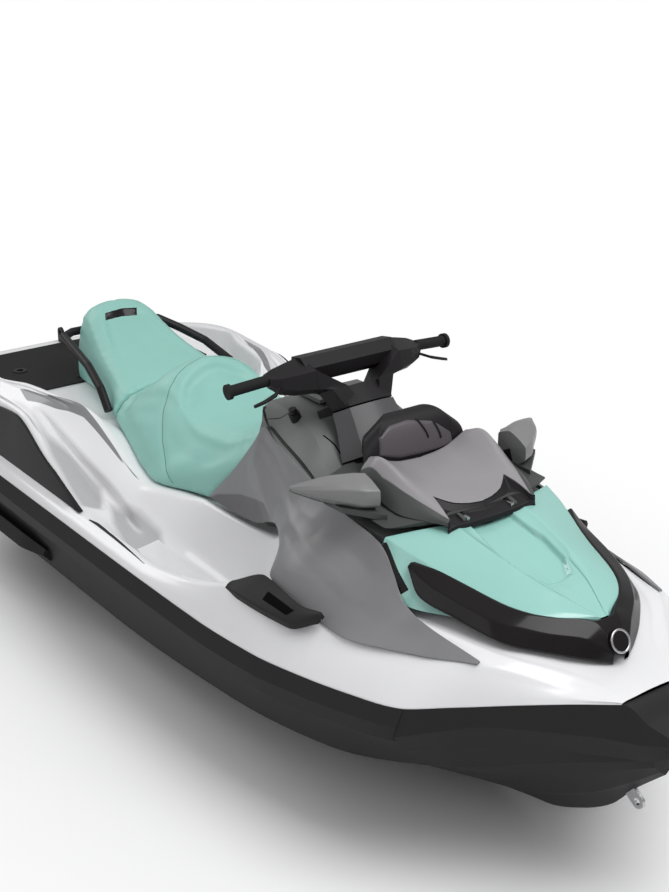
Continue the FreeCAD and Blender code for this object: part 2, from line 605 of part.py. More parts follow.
def make_glovebox_lid():
    s, h = GLOVEBOX_HINGE
    half = GLOVEBOX_KNUCKLE_LENGTH / 2
    low = point_on(CONSOLE_TOP, GLOVEBOX_AFT)[2] + MOVING_GAP
    high = low + GLOVEBOX_LID_THICKNESS
    width = GLOVEBOX_HALF_WIDTH + GLOVEBOX_LID_RIM
    plate = box((GLOVEBOX_AFT - GLOVEBOX_LID_RIM, GLOVEBOX_FORE + GLOVEBOX_LID_RIM),
                (-width, width), (low, high))
    knuckle = bar(at(s, -half, h), at(s, half, h), GLOVEBOX_KNUCKLE_RADIUS)
    web = box((GLOVEBOX_FORE, s), (-half, half), (h - 2, high))
    pin = bar(at(s, -width, h), at(s, width, h), GLOVEBOX_PIN_RADIUS + RUNNING_CLEARANCE)
    return plate.multiFuse([knuckle, web]).cut(pin)


def make_bin():
    outer = box((BIN_AFT - BIN_WALL, BIN_FORE + BIN_WALL),
                (-BIN_HALF_WIDTH - BIN_WALL, BIN_HALF_WIDTH + BIN_WALL),
                (BIN_FLOOR - BIN_WALL, 750))
    inner = box((BIN_AFT, BIN_FORE), (-BIN_HALF_WIDTH, BIN_HALF_WIDTH), (BIN_FLOOR, FAR))
    return outer.cut(inner)


def make_panel(others):
    t = PANEL_THICKNESS
    skin = side_body([PANEL_LOW, PANEL_CREASE, PANEL_TOP, moved(PANEL_TOP, -t, -t),
                      moved(PANEL_CREASE, -t, -t), moved(PANEL_LOW, -t, -t)])
    return skin.cut(others)


def make_vent(others):
    body = side_body([VENT_LOW, VENT_TOP, moved(VENT_TOP, -4, -VENT_DEPTH),
                      moved(VENT_LOW, -VENT_DEPTH, -VENT_DEPTH)])
    slots = [box((s, s + VENT_SLOT_LENGTH), (-523, -493), (565, 640)) for s in VENT_SLOTS]
    return body.cut(others).cut(slots)


def make_hood(deck, others):
    floor = [(s, b - 6, HOOD_BOTTOM) for s, b, h in HOOD_LOW]
    body = full_body([floor, HOOD_LOW, HOOD_EDGE, HOOD_RIDGE, HOOD_SCOOP, HOOD_CENTRE])
    return body.cut([hood_rear(0), deck] + others)


def make_grille(others):
    floor = [(s, b - 10, 560) for s, b, h in GRILLE_LOW]
    return full_body([floor, GRILLE_LOW, GRILLE_STEP, GRILLE_TOP]).cut(others)


def make_badge():
    lean = Vector(math.cos(math.radians(30)), 0, math.sin(math.radians(30)))
    return Part.makeCylinder(BADGE_RADIUS, BADGE_THICKNESS, at(BADGE_CENTRE[0], 0,
                             BADGE_CENTRE[1]), lean)


def make_cowl():
    outer = [COWL_SIDE, COWL_PEAK, COWL_VALLEY, COWL_CENTRE]
    starboard = [line_edge(line, -1) for line in outer]
    port = [line_edge(line, 1) for line in reversed(outer[:-1])]
    inner = [moved(line, 0, -COWL_SKIN) for line in outer]
    inner[0] = moved(COWL_SIDE, -COWL_SKIN, 0)
    inner[1] = moved(COWL_PEAK, -3, -1.6 * COWL_SKIN)
    back = [line_edge(line, 1) for line in inner] + [line_edge(line, -1)
                                                     for line in reversed(inner[:-1])]
    return ring_body(starboard + port + back)


def make_trim(cowl):
    under = [(s, b - 12, TRIM_UNDER) for s, b, h in TRIM_EDGE]
    middle = [(s, 0, h - 6) for s, b, h in TRIM_CROWN]
    return full_body([under, TRIM_EDGE, TRIM_CROWN, middle]).cut(cowl)


def make_gauge(others):
    """Hood over the display, open towards the rider."""
    sections = []
    for station, half, inner, foot, side, crown in GAUGE_RINGS:
        sections.append([at(station, y, h) for y, h in
                         ((-half, foot), (-half, side), (-inner, crown), (inner, crown),
                          (half, side), (half, foot))])
    station, half, low, high = GAUGE_RECESS
    recess = box((station - FAR, station), (-half, half), (low, high))
    return loft(sections).cut(others + [recess])


def make_display():
    station, half, low, high = GAUGE_RECESS
    m = DISPLAY_MARGIN
    return box((station - DISPLAY_DEPTH, station - SEAT_GAP), (m - half, half - m),
               (low + m, high - m))


def mirror_face(breadth):
    """Station of the mirror's flat aft face at a breadth."""
    return MIRROR_AFT - MIRROR_SWEEP * (breadth - MIRROR_RINGS[0][0])


def make_mirror():
    sections = []
    for breadth, depth, low, high in MIRROR_RINGS:
        middle = (low + high) / 2
        sections.append([at(mirror_face(breadth) + depth * a, -breadth,
                            middle + (high - middle) * u) for a, u in MIRROR_OUTLINE])
    return loft(sections)


def make_mirror_glass():
    """Plate let into the housing's aft face."""
    face = [at(mirror_face(b) - GLASS_PROUD, -b, h) for b, h in GLASS_CORNERS]
    return Part.Face(Part.makePolygon(face + face[:1])).extrude(Vector(GLASS_DEPTH, 0, 0))


def make_mirror_arm(housing):
    arm = loft([[at(2325, -255, 794), at(2455, -255, 792), at(2455, -255, 810),
                 at(2325, -255, 812)],
                [at(2305, -352, 814), at(2378, -346, 812), at(2378, -346, 826),
                 at(2305, -352, 828)]], True)
    return arm.cut(housing)


def foot_ring(reach, spread, ahead=0):
    """Outline of the cover's foot at a reach along the column, spread from its own size."""
    half = [(a * spread + ahead, b * spread) for a, b in FOOT_OUTLINE]
    ring = half + [(a, -b) for a, b in reversed(half)]
    return [on_column(a, reach, b) for a, b in ring]


def neck_body(spare):
    """Block of the neck, grown all round by a share of the foot's size."""
    return loft([foot_ring(reach, spread + spare, ahead)
                 for reach, spread, ahead in NECK_RINGS], True)


def lifting_room():
    """Space around the neck and below its front edge that the lid keeps clear as it lifts."""
    sweep = box((LID_HINGE[0] - FAR, LID_HINGE[0]), (-LIFT_HALF_WIDTH, LIFT_HALF_WIDTH),
                (LID_HINGE[1] - FAR, LIFT_HEIGHT))
    inside = bar(at(LID_HINGE[0], -FAR, LID_HINGE[1]), at(LID_HINGE[0], FAR, LID_HINGE[1]),
                 LIFT_RADIUS)
    return [neck_body(NECK_SPARE), sweep.cut(inside)]


def make_neck(console):
    body = neck_body(0)
    bore = bar(on_column(0, 0), on_column(0, -COLUMN_DEPTH - MOVING_GAP),
               COLUMN_RADIUS + RUNNING_CLEARANCE)
    return body.cut([console, above_seam(-MOVING_GAP), bore])


def make_column():
    """Shaft that carries the bar's cover in the neck."""
    return bar(on_column(0, -COLUMN_DEPTH), on_column(0, COVER_TOP - COLUMN_RADIUS), COLUMN_RADIUS)


def make_handlebar():
    return bar(at(BAR_STATION - BAR_SET_BACK, -GRIP_INNER, BAR_HEIGHT),
               at(BAR_STATION - BAR_SET_BACK, GRIP_INNER, BAR_HEIGHT), BAR_RADIUS)


def guard_ring(breadth, outline):
    """Section of the hand guard at a breadth, from (ahead, up) corners around the bar."""
    return [at(BAR_STATION + s, breadth, BAR_HEIGHT + h) for s, h in outline]


def make_bar_cover(others):
    """Foot on the seam, with a leg on each side that rises to the hand guard."""
    body = loft([foot_ring(0, 1), foot_ring(COVER_TOP, 0.8, -14)], True)
    for side in (-1, 1):
        root = [on_column(a, 0, side * b) for a, b in LEG_ROOT]
        knee = [on_column(a, COVER_TOP, side * b) for a, b in LEG_KNEE]
        top = guard_ring(side * GUARD_RINGS[0][0], GUARD_RINGS[0][1])
        body = body.fuse(loft([root, knee, top], True))
    return body.cut(others)


def make_pad(others):
    outline = [(BAR_STATION + s, BAR_HEIGHT + h) for s, h in PAD_OUTLINE]
    return prism(outline, -PAD_HALF_WIDTH, 2 * PAD_HALF_WIDTH).cut(others)


def make_switch_pod(others):
    """Hand guard and switch housing beside the pad, starboard side."""
    sections = [guard_ring(-b, outline) for b, outline in GUARD_RINGS]
    sections[0] = guard_ring(-GUARD_RINGS[0][0] - SEAT_GAP, GUARD_RINGS[0][1])
    return loft(sections, True).cut(others)


def make_grip(handlebar):
    inner = at(BAR_STATION - BAR_SET_BACK, 4 - GRIP_INNER, BAR_HEIGHT)
    outer = at(BAR_STATION - BAR_SET_BACK - 10, -GRIP_OUTER, BAR_HEIGHT - 11)
    along = (outer - inner).normalize()
    body = bar(inner, outer, GRIP_RADIUS)
    flange = bar(outer - along * 12, outer, GRIP_RADIUS + 6)
    return body.fuse(flange).cut(handlebar)


def make_lever(side):
    """Bent blade ahead of a grip, its root in the switch housing."""
    sections = []
    for ahead, breadth, drop, deep in ((26, 246, 8, 16), (52, 282, 22, 14), (54, 320, 34, 12),
                                       (46, 350, 44, 9)):
        sections.append([at(BAR_STATION + ahead + a, side * breadth, BAR_HEIGHT - drop + h)
                         for a, h in ((-deep / 2, -4), (deep / 2, -4), (deep / 2, 4),
                                      (-deep / 2, 4))])
    return loft(sections, True)


def make_lanyard_post(console):
    """Safety-lanyard switch on the console's side slope."""
    root = at(1905, -158, 880)
    base = bar(root, root + Vector(0, -14, 30), 17)
    cap = bar(root + Vector(0, -14, 30), root + Vector(0, -19, 44), 12)
    return base.fuse(cap).cut(console)


def make_grab_handle(deck, radius):
    path = [at(s, -b, h) for s, b, h in HANDLE_PATH]
    path += [at(s, b, h) for s, b, h in reversed(HANDLE_PATH)]
    return tube_along(path, radius).cut(deck)


def make_rear_mat():
    mat = box((60, 520), (-376, 376), (600 + SEAT_GAP, MAT_TOP))
    s, b = FITTING_PLACE
    rings = [bar(at(s, y, 590), at(s, y, 620), FITTING_RADIUS + SEAT_GAP) for y in (-b, b)]
    return mat.cut(rings)


def make_insert(deck):
    lower = [(500, 572, 470), (900, 566, 462), (1250, 560, 454)]
    upper = [(500, 556, 620), (770, 544, 640), (1000, 550, 548), (1250, 556, 456)]
    return side_body([lower, upper, moved(upper, -12, 0), moved(lower, -12, 0)]).cut(deck)


def make_floor_mat():
    """Sheet along the footwell's floor, just clear of it."""
    edges = []
    for share, lift in ((0.04, 0.3), (0.93, 0.3), (0.93, 5), (0.04, 5)):
        line = []
        for s in (1600, 1800, 1990):
            _, b0, h0, _, _ = point_on(FLOOR_OUTER, s)
            _, b1, h1, _, _ = point_on(FLOOR_INNER, s)
            line.append((s, b0 + (b1 - b0) * share, h0 + (h1 - h0) * share + lift))
        edges.append(line)
    return side_body(edges)


def make_sponson(hull):
    top = [(300, 600, 250), (420, 606, 262), (900, 604, 262), (1040, 590, 250)]
    tip = [(300, 612, 225), (420, 628, 222), (900, 626, 222), (1040, 600, 228)]
    low = [(300, 574, 196), (420, 578, 190), (900, 578, 190), (1040, 572, 200)]
    inner = [(300, 560, 226), (420, 560, 226), (900, 560, 226), (1040, 560, 226)]
    return side_body([top, tip, low, inner]).cut(hull)


def make_engine():
    return box((ENGINE_AFT, ENGINE_FORE), (-ENGINE_HALF_WIDTH, ENGINE_HALF_WIDTH),
               (ENGINE_LOW, ENGINE_HIGH))


def make_pump():
    """Pump housing with outlet, straightening vanes, bearing hub and both sets of pins."""
    wall = PUMP_RADIUS + PUMP_WALL
    axis = Vector(1, 0, 0)
    taper = 40.0
    housing = bar(at(PUMP_AFT + taper, 0, PUMP_HEIGHT), at(PUMP_FORE - 1, 0, PUMP_HEIGHT), wall)
    cone = Part.makeCone(OUTLET_RADIUS, wall, taper, at(PUMP_AFT, 0, PUMP_HEIGHT), axis)
    spout = bar(at(OUTLET_AFT, 0, PUMP_HEIGHT), at(PUMP_AFT + 2, 0, PUMP_HEIGHT), OUTLET_RADIUS)
    barrel = bar(at(PUMP_AFT + taper, 0, PUMP_HEIGHT), at(PUMP_FORE, 0, PUMP_HEIGHT), PUMP_RADIUS)
    throat = Part.makeCone(OUTLET_BORE, PUMP_RADIUS, taper, at(PUMP_AFT, 0, PUMP_HEIGHT), axis)
    mouth = bar(at(OUTLET_AFT - 1, 0, PUMP_HEIGHT), at(PUMP_AFT + 1, 0, PUMP_HEIGHT), OUTLET_BORE)
    body = housing.multiFuse([cone, spout]).cut([barrel, throat, mouth])
    vane_aft = PUMP_AFT + taper + 6
    hub = bar(at(vane_aft - 20, 0, PUMP_HEIGHT), at(vane_aft + 70, 0, PUMP_HEIGHT), 30)
    vanes = []
    for k in range(6):
        vane = box((vane_aft, vane_aft + 60), (-3, 3), (PUMP_HEIGHT + 20, PUMP_HEIGHT + wall - 4))
        vane.rotate(at(0, 0, PUMP_HEIGHT), axis, 60 * k)
        vanes.append(vane)
    shaft_bore = bar(at(vane_aft - 10, 0, PUMP_HEIGHT), at(PUMP_FORE, 0, PUMP_HEIGHT),
                     SHAFT_RADIUS + RUNNING_CLEARANCE)
    reach = NOZZLE_MOUTH + NOZZLE_WALL + 2
    pivots = [bar(at(NOZZLE_PIVOT, 0, PUMP_HEIGHT + side * (OUTLET_BORE + 3)),
                  at(NOZZLE_PIVOT, 0, PUMP_HEIGHT + side * reach), NOZZLE_PIN) for side in (-1, 1)]
    trunnions = [bar(at(GATE_PIVOT, side * (OUTLET_BORE + 14), PUMP_HEIGHT),
                     at(GATE_PIVOT, side * (GATE_ARM_INNER + GATE_ARM_WIDTH + 2), PUMP_HEIGHT),
                     GATE_PIN) for side in (-1, 1)]
    return body.multiFuse([hub] + vanes + pivots + trunnions).cut(shaft_bore)


def make_impeller():
    start = PUMP_AFT + 130
    length = 74.0
    tip = PUMP_RADIUS - MOVING_GAP
    hub = Part.makeCone(32, 24, length, at(start, 0, PUMP_HEIGHT), Vector(1, 0, 0))
    shaft = bar(at(PUMP_AFT + 40, 0, PUMP_HEIGHT), at(ENGINE_AFT, 0, PUMP_HEIGHT), SHAFT_RADIUS)
    blades = []
    for k in range(3):
        sections = []
        for j in range(5):
            turn = math.radians(120 * k + 20 * j)
            ring = []
            for angle, radius in ((turn, 20), (turn, tip), (turn + 0.1, tip), (turn + 0.3, 20)):
                ring.append(at(start + 5 + (length - 10) * j / 4, radius * math.cos(angle),
                               PUMP_HEIGHT + radius * math.sin(angle)))
            sections.append(ring)
        blades.append(loft(sections))
    return hub.multiFuse([shaft] + blades)


def make_nozzle():
    """Steered nozzle around the pump's outlet, on two upright pins."""
    length = NOZZLE_FORE - NOZZLE_AFT
    start = at(NOZZLE_FORE, 0, PUMP_HEIGHT)
    aft = Vector(-1, 0, 0)
    outer = Part.makeCone(NOZZLE_MOUTH + NOZZLE_WALL, NOZZLE_OUTLET + NOZZLE_WALL, length, start,
                          aft)
    inner = Part.makeCone(NOZZLE_MOUTH, NOZZLE_OUTLET, length, start, aft)
    bores = bar(at(NOZZLE_PIVOT, 0, PUMP_HEIGHT - 100), at(NOZZLE_PIVOT, 0, PUMP_HEIGHT + 100),
                NOZZLE_PIN + RUNNING_CLEARANCE)
    return outer.cut([inner, bores])


def make_gate():
    """Reverse bucket: a strip of drum wall on two arms, at rest above the nozzle."""
    centre = at(GATE_PIVOT, 0, PUMP_HEIGHT)
    half = GATE_ARM_INNER + GATE_ARM_WIDTH
    low = math.radians(GATE_LOW_ANGLE)
    high = math.radians(GATE_HIGH_ANGLE)

    def rim(radius, angle):
        return GATE_PIVOT - radius * math.cos(angle), PUMP_HEIGHT + radius * math.sin(angle)

    far = 2 * GATE_RADIUS
    wedge = prism([(GATE_PIVOT, PUMP_HEIGHT), rim(far, low), rim(far, (low + high) / 2),
                   rim(far, high)], -half, 2 * half)
    drum = Part.makeCylinder(GATE_RADIUS + GATE_SKIN, 2 * half, centre - Vector(0, half, 0),
                             Vector(0, 1, 0))
    core = Part.makeCylinder(GATE_RADIUS, 2 * half, centre - Vector(0, half, 0),
                             Vector(0, 1, 0))
    bucket = drum.cut(core).common(wedge)
    for side in (-1, 1):
        start = side * half if side < 0 else GATE_ARM_INNER
        arm = prism([(GATE_PIVOT, PUMP_HEIGHT - 10), rim(GATE_RADIUS + 4, low + 0.05),
                     rim(GATE_RADIUS + 4, high - 0.05)], start, GATE_ARM_WIDTH)
        boss = bar(at(GATE_PIVOT, start, PUMP_HEIGHT), at(GATE_PIVOT, start + GATE_ARM_WIDTH,
                                                          PUMP_HEIGHT), 2.2 * GATE_PIN)
        bucket = bucket.multiFuse([arm, boss])
    bore = bar(at(GATE_PIVOT, -half - 5, PUMP_HEIGHT), at(GATE_PIVOT, half + 5, PUMP_HEIGHT),
               GATE_PIN + RUNNING_CLEARANCE)
    return bucket.cut(bore)


def make_ride_plate():
    wet = PUMP_RADIUS + PUMP_WALL
    plate = box((140, PUMP_FORE), (-wet, wet), (26, 34))
    stays = [box((330, 400), (y - 8, y + 8), (34, PUMP_HEIGHT)) for y in (-50, 50)]
    barrel = bar(at(300, 0, PUMP_HEIGHT), at(PUMP_FORE, 0, PUMP_HEIGHT), wet)
    return plate.multiFuse(stays).cut(barrel)


def make_intake_grate():
    pieces = [box((INTAKE_AFT + 24, INTAKE_FORE - 34), (y - 4, y + 4), (12, 26))
              for y in (-54, -27, 0, 27, 54)]
    for s in (INTAKE_AFT + 30, INTAKE_FORE - 60):
        pieces.append(box((s, s + 14), (-PUMP_RADIUS, PUMP_RADIUS), (14, 26)))
    return pieces[0].multiFuse(pieces[1:])


def eye(station, breadth, height, reach):
    """Lug with a cross hole; reach is the vector from the hole's centre to its root."""
    centre = at(station, breadth - EYE_WIDTH / 2, height)
    along = Vector(0, EYE_WIDTH, 0)
    ring = bar(centre, centre + along, EYE_RADIUS)
    side = reach.cross(Vector(0, 1, 0)).normalize() * EYE_RADIUS
    corners = [centre + side, centre + side + reach, centre - side + reach, centre - side]
    web = Part.Face(Part.makePolygon(corners + corners[:1])).extrude(along)
    return ring.fuse(web).cut(bar(centre - along, centre + along * 2, EYE_HOLE))


def make_fitting():
    s, b = FITTING_PLACE
    foot = 600 + SEAT_GAP
    ring = bar(at(s, -b, foot), at(s, -b, foot + FITTING_HEIGHT), FITTING_RADIUS)
    hole = bar(at(s, -b, foot + 1), at(s, -b, foot + 2 * FITTING_HEIGHT), FITTING_HOLE)
    return ring.cut(hole)


def make_lid_hinge():
    """Brackets that rise from the console to the lid's hinge pins."""
    s, h = LID_HINGE
    r = LID_EAR_RADIUS
    outline = [(s - 70, 740), (s - 22, 740), (s - 12, h - r + 2), (s + r, h - r + 1),
               (s + r, h + r - 2), (s - 12, h + r - 2), (s - 70, 776)]
    inner = LID_EAR_INNER - LID_BRACKET_WIDTH - 1
    plate = prism(outline, -inner - LID_BRACKET_WIDTH, LID_BRACKET_WIDTH)
    pin = bar(at(s, -inner, h), at(s, -LID_EAR_INNER - LID_EAR_WIDTH, h), LID_PIN_RADIUS)
    return plate.fuse(pin)


def lid_ears():
    s, h = LID_HINGE
    ears = []
    for side in (-1, 1):
        start = at(s, side * LID_EAR_INNER, h)
        end = at(s, side * (LID_EAR_INNER + LID_EAR_WIDTH), h)
        boss = bar(start, end, LID_EAR_RADIUS)
        low = min(side * LID_EAR_INNER, side * (LID_EAR_INNER + LID_EAR_WIDTH))
        web = box((s - 40, s), (low, low + LID_EAR_WIDTH), (h - 2, h + 12))
        ears += [boss, web]
    return ears


def lid_pin_bore():
    s, h = LID_HINGE
    reach = LID_EAR_INNER + LID_EAR_WIDTH + 20
    return bar(at(s, -reach, h), at(s, reach, h), LID_PIN_RADIUS + RUNNING_CLEARANCE)


def lid_bracket_room():
    s, h = LID_HINGE
    reach = LID_EAR_INNER - 1
    inner = reach - LID_BRACKET_WIDTH
    return [box((s - 100, s + 14), (min(side * inner, side * reach) - 2,
                                    max(side * inner, side * reach) + 1), (700, h + 12))
            for side in (-1, 1)]


os.makedirs("parts", exist_ok=True)

hull = make_hull()
deck = make_deck()
console, well = make_console(deck)
deck = deck.cut(well)
save("hull", hull)
save("deck", deck)
save("console", console)
save("rails", pair(make_rail()))
save("bow_bumper", make_bumper(hull))
hood = make_hood(deck, [])
grille = make_grille([hood, deck])
panel = make_panel([deck, console, hood, grille])
save("hood", hood)
save("nose_grille", grille)
save("nose_badge", make_badge().cut(grille))
save("side_panel_starboard", panel)
save("side_panel_port", mirrored(panel))
save("side_vents", pair(make_vent([deck, panel])))
seat_front, seat_rear = make_seats(deck, console, [panel, mirrored(panel)])
handle = make_grab_handle(deck, HANDLE_RADIUS)
handle_room = make_grab_handle(deck, HANDLE_RADIUS + SEAT_GAP)
save("seat_front", seat_front.cut(handle_room))
save("seat_rear", seat_rear.cut(handle_room))
save("grab_handle", handle)

save("storage_bin", make_bin())
save("lid_hinge", pair(make_lid_hinge().cut(console)))
cowl = make_cowl()
trim = make_trim(cowl)
ears = lid_ears()
cowl = cowl.cut([lid_pin_bore()] + lid_bracket_room())
trim = trim.multiFuse(ears).cut([cowl, lid_pin_bore()] + lid_bracket_room() + lifting_room())
save("front_cowl", cowl)
save("cowl_trim", trim)
gauge = make_gauge([trim, cowl] + lifting_room())
save("gauge_pod", gauge)
save("gauge_display", make_display().cut(gauge))
mirror = make_mirror()
glass = make_mirror_glass()
mirror = mirror.cut([glass, trim])
arm = make_mirror_arm(mirror).cut([trim, glass])
save("mirror_arms", pair(arm))
save("mirror_housing_starboard", mirror)
save("mirror_housing_port", mirrored(mirror))
save("mirror_glasses", pair(glass))

save("glovebox_lid", make_glovebox_lid())
neck = make_neck(console)
save("steering_neck", neck)
handlebar = make_handlebar()
column = make_column()
cover = make_bar_cover([column, handlebar])
pad = make_pad([cover, handlebar])
pod = make_switch_pod([cover, pad, handlebar])
save("steering_column", column)
save("bar_cover", cover)
save("bar_pad", pad)
save("switch_pods", pair(pod))
save("handlebar", handlebar)
save("grips", pair(make_grip(handlebar).cut(pod)))
save("throttle_lever", make_lever(-1).cut(pod))
save("brake_lever", make_lever(1).cut(mirrored(pod)))
save("lanyard_post", make_lanyard_post(console))

save("rear_mat", make_rear_mat().cut([deck, seat_rear]))
save("deck_fittings", pair(make_fitting()))
save("quarter_inserts", pair(make_insert(deck)))
save("floor_mats", pair(make_floor_mat()))
save("sponsons", pair(make_sponson(hull)))
save("bow_eye", eye(3166, 0, 214, Vector(-60, 0, 40)).cut(hull))
save("stern_eyes", pair(eye(HULL_AFT - 30, -300, 300, Vector(30, 0, 0))))
save("tow_eye", eye(40, 0, 640, Vector(0, 0, -42)).cut(deck))

save("engine", make_engine())
save("pump_housing", make_pump())
save("impeller", make_impeller())
save("nozzle", make_nozzle())
save("reverse_gate", make_gate())
save("ride_plate", make_ride_plate())
save("intake_grate", make_intake_grate().cut(hull))
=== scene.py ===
"""Looks of a three-seat personal watercraft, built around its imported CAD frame.

Skins are strung over fore-and-aft lines, as on a loft floor: each line is a list of
(station, breadth, height) points in millimetres from the stern, the centreline and the keel.
"""
import json
import math
import bmesh
import bpy
import numpy as np
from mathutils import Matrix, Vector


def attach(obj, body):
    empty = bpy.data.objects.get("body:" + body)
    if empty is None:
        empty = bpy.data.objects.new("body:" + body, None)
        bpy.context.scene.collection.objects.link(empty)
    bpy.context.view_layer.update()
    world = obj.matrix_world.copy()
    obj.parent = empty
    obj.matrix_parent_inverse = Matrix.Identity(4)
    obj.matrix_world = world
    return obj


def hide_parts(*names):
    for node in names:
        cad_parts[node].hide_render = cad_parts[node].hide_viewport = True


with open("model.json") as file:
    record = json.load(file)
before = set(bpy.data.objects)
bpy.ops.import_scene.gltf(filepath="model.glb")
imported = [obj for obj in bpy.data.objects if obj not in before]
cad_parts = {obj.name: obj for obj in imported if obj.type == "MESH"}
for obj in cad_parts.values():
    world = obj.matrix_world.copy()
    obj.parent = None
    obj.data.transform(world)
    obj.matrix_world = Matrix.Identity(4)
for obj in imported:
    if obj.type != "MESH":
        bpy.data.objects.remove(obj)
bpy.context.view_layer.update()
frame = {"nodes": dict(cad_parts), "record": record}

# Hull: one dark glass-fibre moulding, V-shaped with strakes and a hard chine. It carries the
# deck on its flange. The CAD solid has the right shape, so it only gets its gelcoat here.


def srgb(red, green, blue):
    """Linear colour with full alpha from 0-255 screen values."""
    screen = np.array([red, green, blue]) / 255
    linear = np.where(screen < 0.04045, screen / 12.92, ((screen + 0.055) / 1.055) ** 2.4)
    return (*linear.tolist(), 1.0)


def finish(name, colour, roughness, grain=900.0, depth=0.02, mottle=0.06, coat=0.0, metallic=0.0,
           shine=0.5):
    """Moulded surface of a 0-255 colour, which drifts by the mottle over centimetres. The
    roughness drifts over millimetres, and a noise of the grain's scale gives the bump."""
    colour = srgb(*colour)
    material = bpy.data.materials.new(name)
    material.use_nodes = True
    tree = material.node_tree
    shader = tree.nodes["Principled BSDF"]
    shader.inputs["Metallic"].default_value = metallic
    shader.inputs["Coat Weight"].default_value = coat
    shader.inputs["Specular IOR Level"].default_value = shine
    shader.inputs["Coat Roughness"].default_value = 0.06
    place = tree.nodes.new("ShaderNodeTexCoord")
    cloud = tree.nodes.new("ShaderNodeTexNoise")
    cloud.inputs["Scale"].default_value = 14.0
    cloud.inputs["Detail"].default_value = 4.0
    tint = tree.nodes.new("ShaderNodeMix")
    tint.data_type = "RGBA"
    tint.inputs["A"].default_value = [min(1.0, c * (1 - mottle)) for c in colour[:3]] + [1.0]
    tint.inputs["B"].default_value = [min(1.0, c * (1 + mottle)) for c in colour[:3]] + [1.0]
    fine = tree.nodes.new("ShaderNodeTexNoise")
    fine.inputs["Scale"].default_value = grain
    fine.inputs["Detail"].default_value = 3.0
    rough = tree.nodes.new("ShaderNodeMapRange")
    rough.inputs["To Min"].default_value = roughness * 0.85
    rough.inputs["To Max"].default_value = min(1.0, roughness * 1.15)
    bump = tree.nodes.new("ShaderNodeBump")
    bump.inputs["Strength"].default_value = depth * 10
    bump.inputs["Distance"].default_value = 0.0005
    link = tree.links.new
    link(place.outputs["Object"], cloud.inputs["Vector"])
    link(place.outputs["Object"], fine.inputs["Vector"])
    link(cloud.outputs["Fac"], tint.inputs["Factor"])
    link(tint.outputs["Result"], shader.inputs["Base Color"])
    link(fine.outputs["Fac"], rough.inputs["Value"])
    link(rough.outputs["Result"], shader.inputs["Roughness"])
    link(fine.outputs["Fac"], bump.inputs["Height"])
    link(bump.outputs["Normal"], shader.inputs["Normal"])
    return material


def dress(material, *nodes):
    """Gives CAD nodes a finish in place of their flat colour."""
    for node in nodes:
        mesh = frame["nodes"][node].data
        mesh.materials.clear()
        mesh.materials.append(material)


CHARCOAL = finish("charcoal_moulding", (44, 43, 44), 0.5, depth=0.03, shine=0.12)
dress(CHARCOAL, "hull", "rails", "bow_bumper", "sponsons", "ride_plate")

# Deck: the white upper moulding with footwells, raised quarters and a rounded edge, gloss
# gelcoat over glass fibre. Strung over the same lines as the hull's flange.
DECK_AFT, NOSE_EDGE, FLANGE = 0.0, 3186.0, 14.0
STERN_TO_ORIGIN, DRAFT, MM = 1660.0, 220.0, 0.001
SHEER = [(0, 556, 404), (720, 592, 410), (1180, 595, 413), (1580, 597, 415), (2000, 593, 416),
         (2290, 582, 428), (2470, 556, 440), (2650, 525, 460), (2800, 488, 480),
         (2900, 402, 500), (3020, 280, 522), (3110, 188, 536), (3186, 115, 546)]
BAND = [(0, 516, 446), (500, 566, 452), (1250, 564, 447), (1650, 558, 446), (1850, 552, 468),
        (2000, 541, 505), (2120, 534, 546), (2250, 514, 556), (2380, 492, 540), (2500, 464, 540),
        (2760, 394, 572), (2910, 318, 596), (3075, 178, 560), (3186, 108, 550)]
SHOULDER = [(0, 496, 560), (500, 548, 640), (770, 533, 652), (1000, 540, 552), (1250, 540, 452),
            (1650, 532, 448), (1850, 527, 470), (2000, 516, 507), (2120, 506, 550),
            (2250, 462, 566), (2380, 430, 580), (2600, 352, 616), (2700, 332, 622),
            (2925, 256, 606), (3075, 132, 568), (3186, 92, 552)]
FLOOR_OUTER = [(0, 470, 588), (500, 518, 668), (770, 500, 655), (1000, 496, 575),
               (1220, 474, 446), (1450, 498, 400), (1600, 512, 378), (2000, 503, 372),
               (2100, 474, 430), (2190, 436, 548), (2380, 390, 590), (2600, 318, 610),
               (2925, 236, 600), (3075, 112, 566), (3186, 76, 552)]
FLOOR_INNER = [(0, 450, 592), (500, 492, 678), (770, 452, 676), (1000, 420, 604),
               (1220, 398, 512), (1450, 390, 430), (1600, 366, 384), (2000, 360, 374),
               (2080, 356, 430), (2170, 350, 580), (2380, 330, 606), (2600, 280, 616),
               (2925, 200, 602), (3075, 90, 566), (3186, 60, 553)]
RIDGE = [(0, 425, 598), (350, 455, 664), (524, 467, 687), (650, 425, 698), (900, 378, 698),
         (970, 352, 673), (1310, 344, 517), (1450, 290, 522), (1544, 264, 530),
         (1700, 268, 535), (1950, 292, 566), (2080, 320, 624), (2380, 300, 620),
         (2600, 240, 622), (2925, 160, 603), (3075, 66, 566), (3186, 40, 554)]
PLATEAU = [(0, 404, 598), (524, 432, 600), (650, 396, 600), (900, 330, 600), (1000, 262, 592),
           (1310, 244, 506), (1544, 236, 510), (1700, 238, 520), (1950, 250, 566),
           (2080, 262, 624), (2380, 240, 624), (2600, 180, 626), (2925, 120, 604),
           (3075, 46, 566), (3186, 24, 555)]


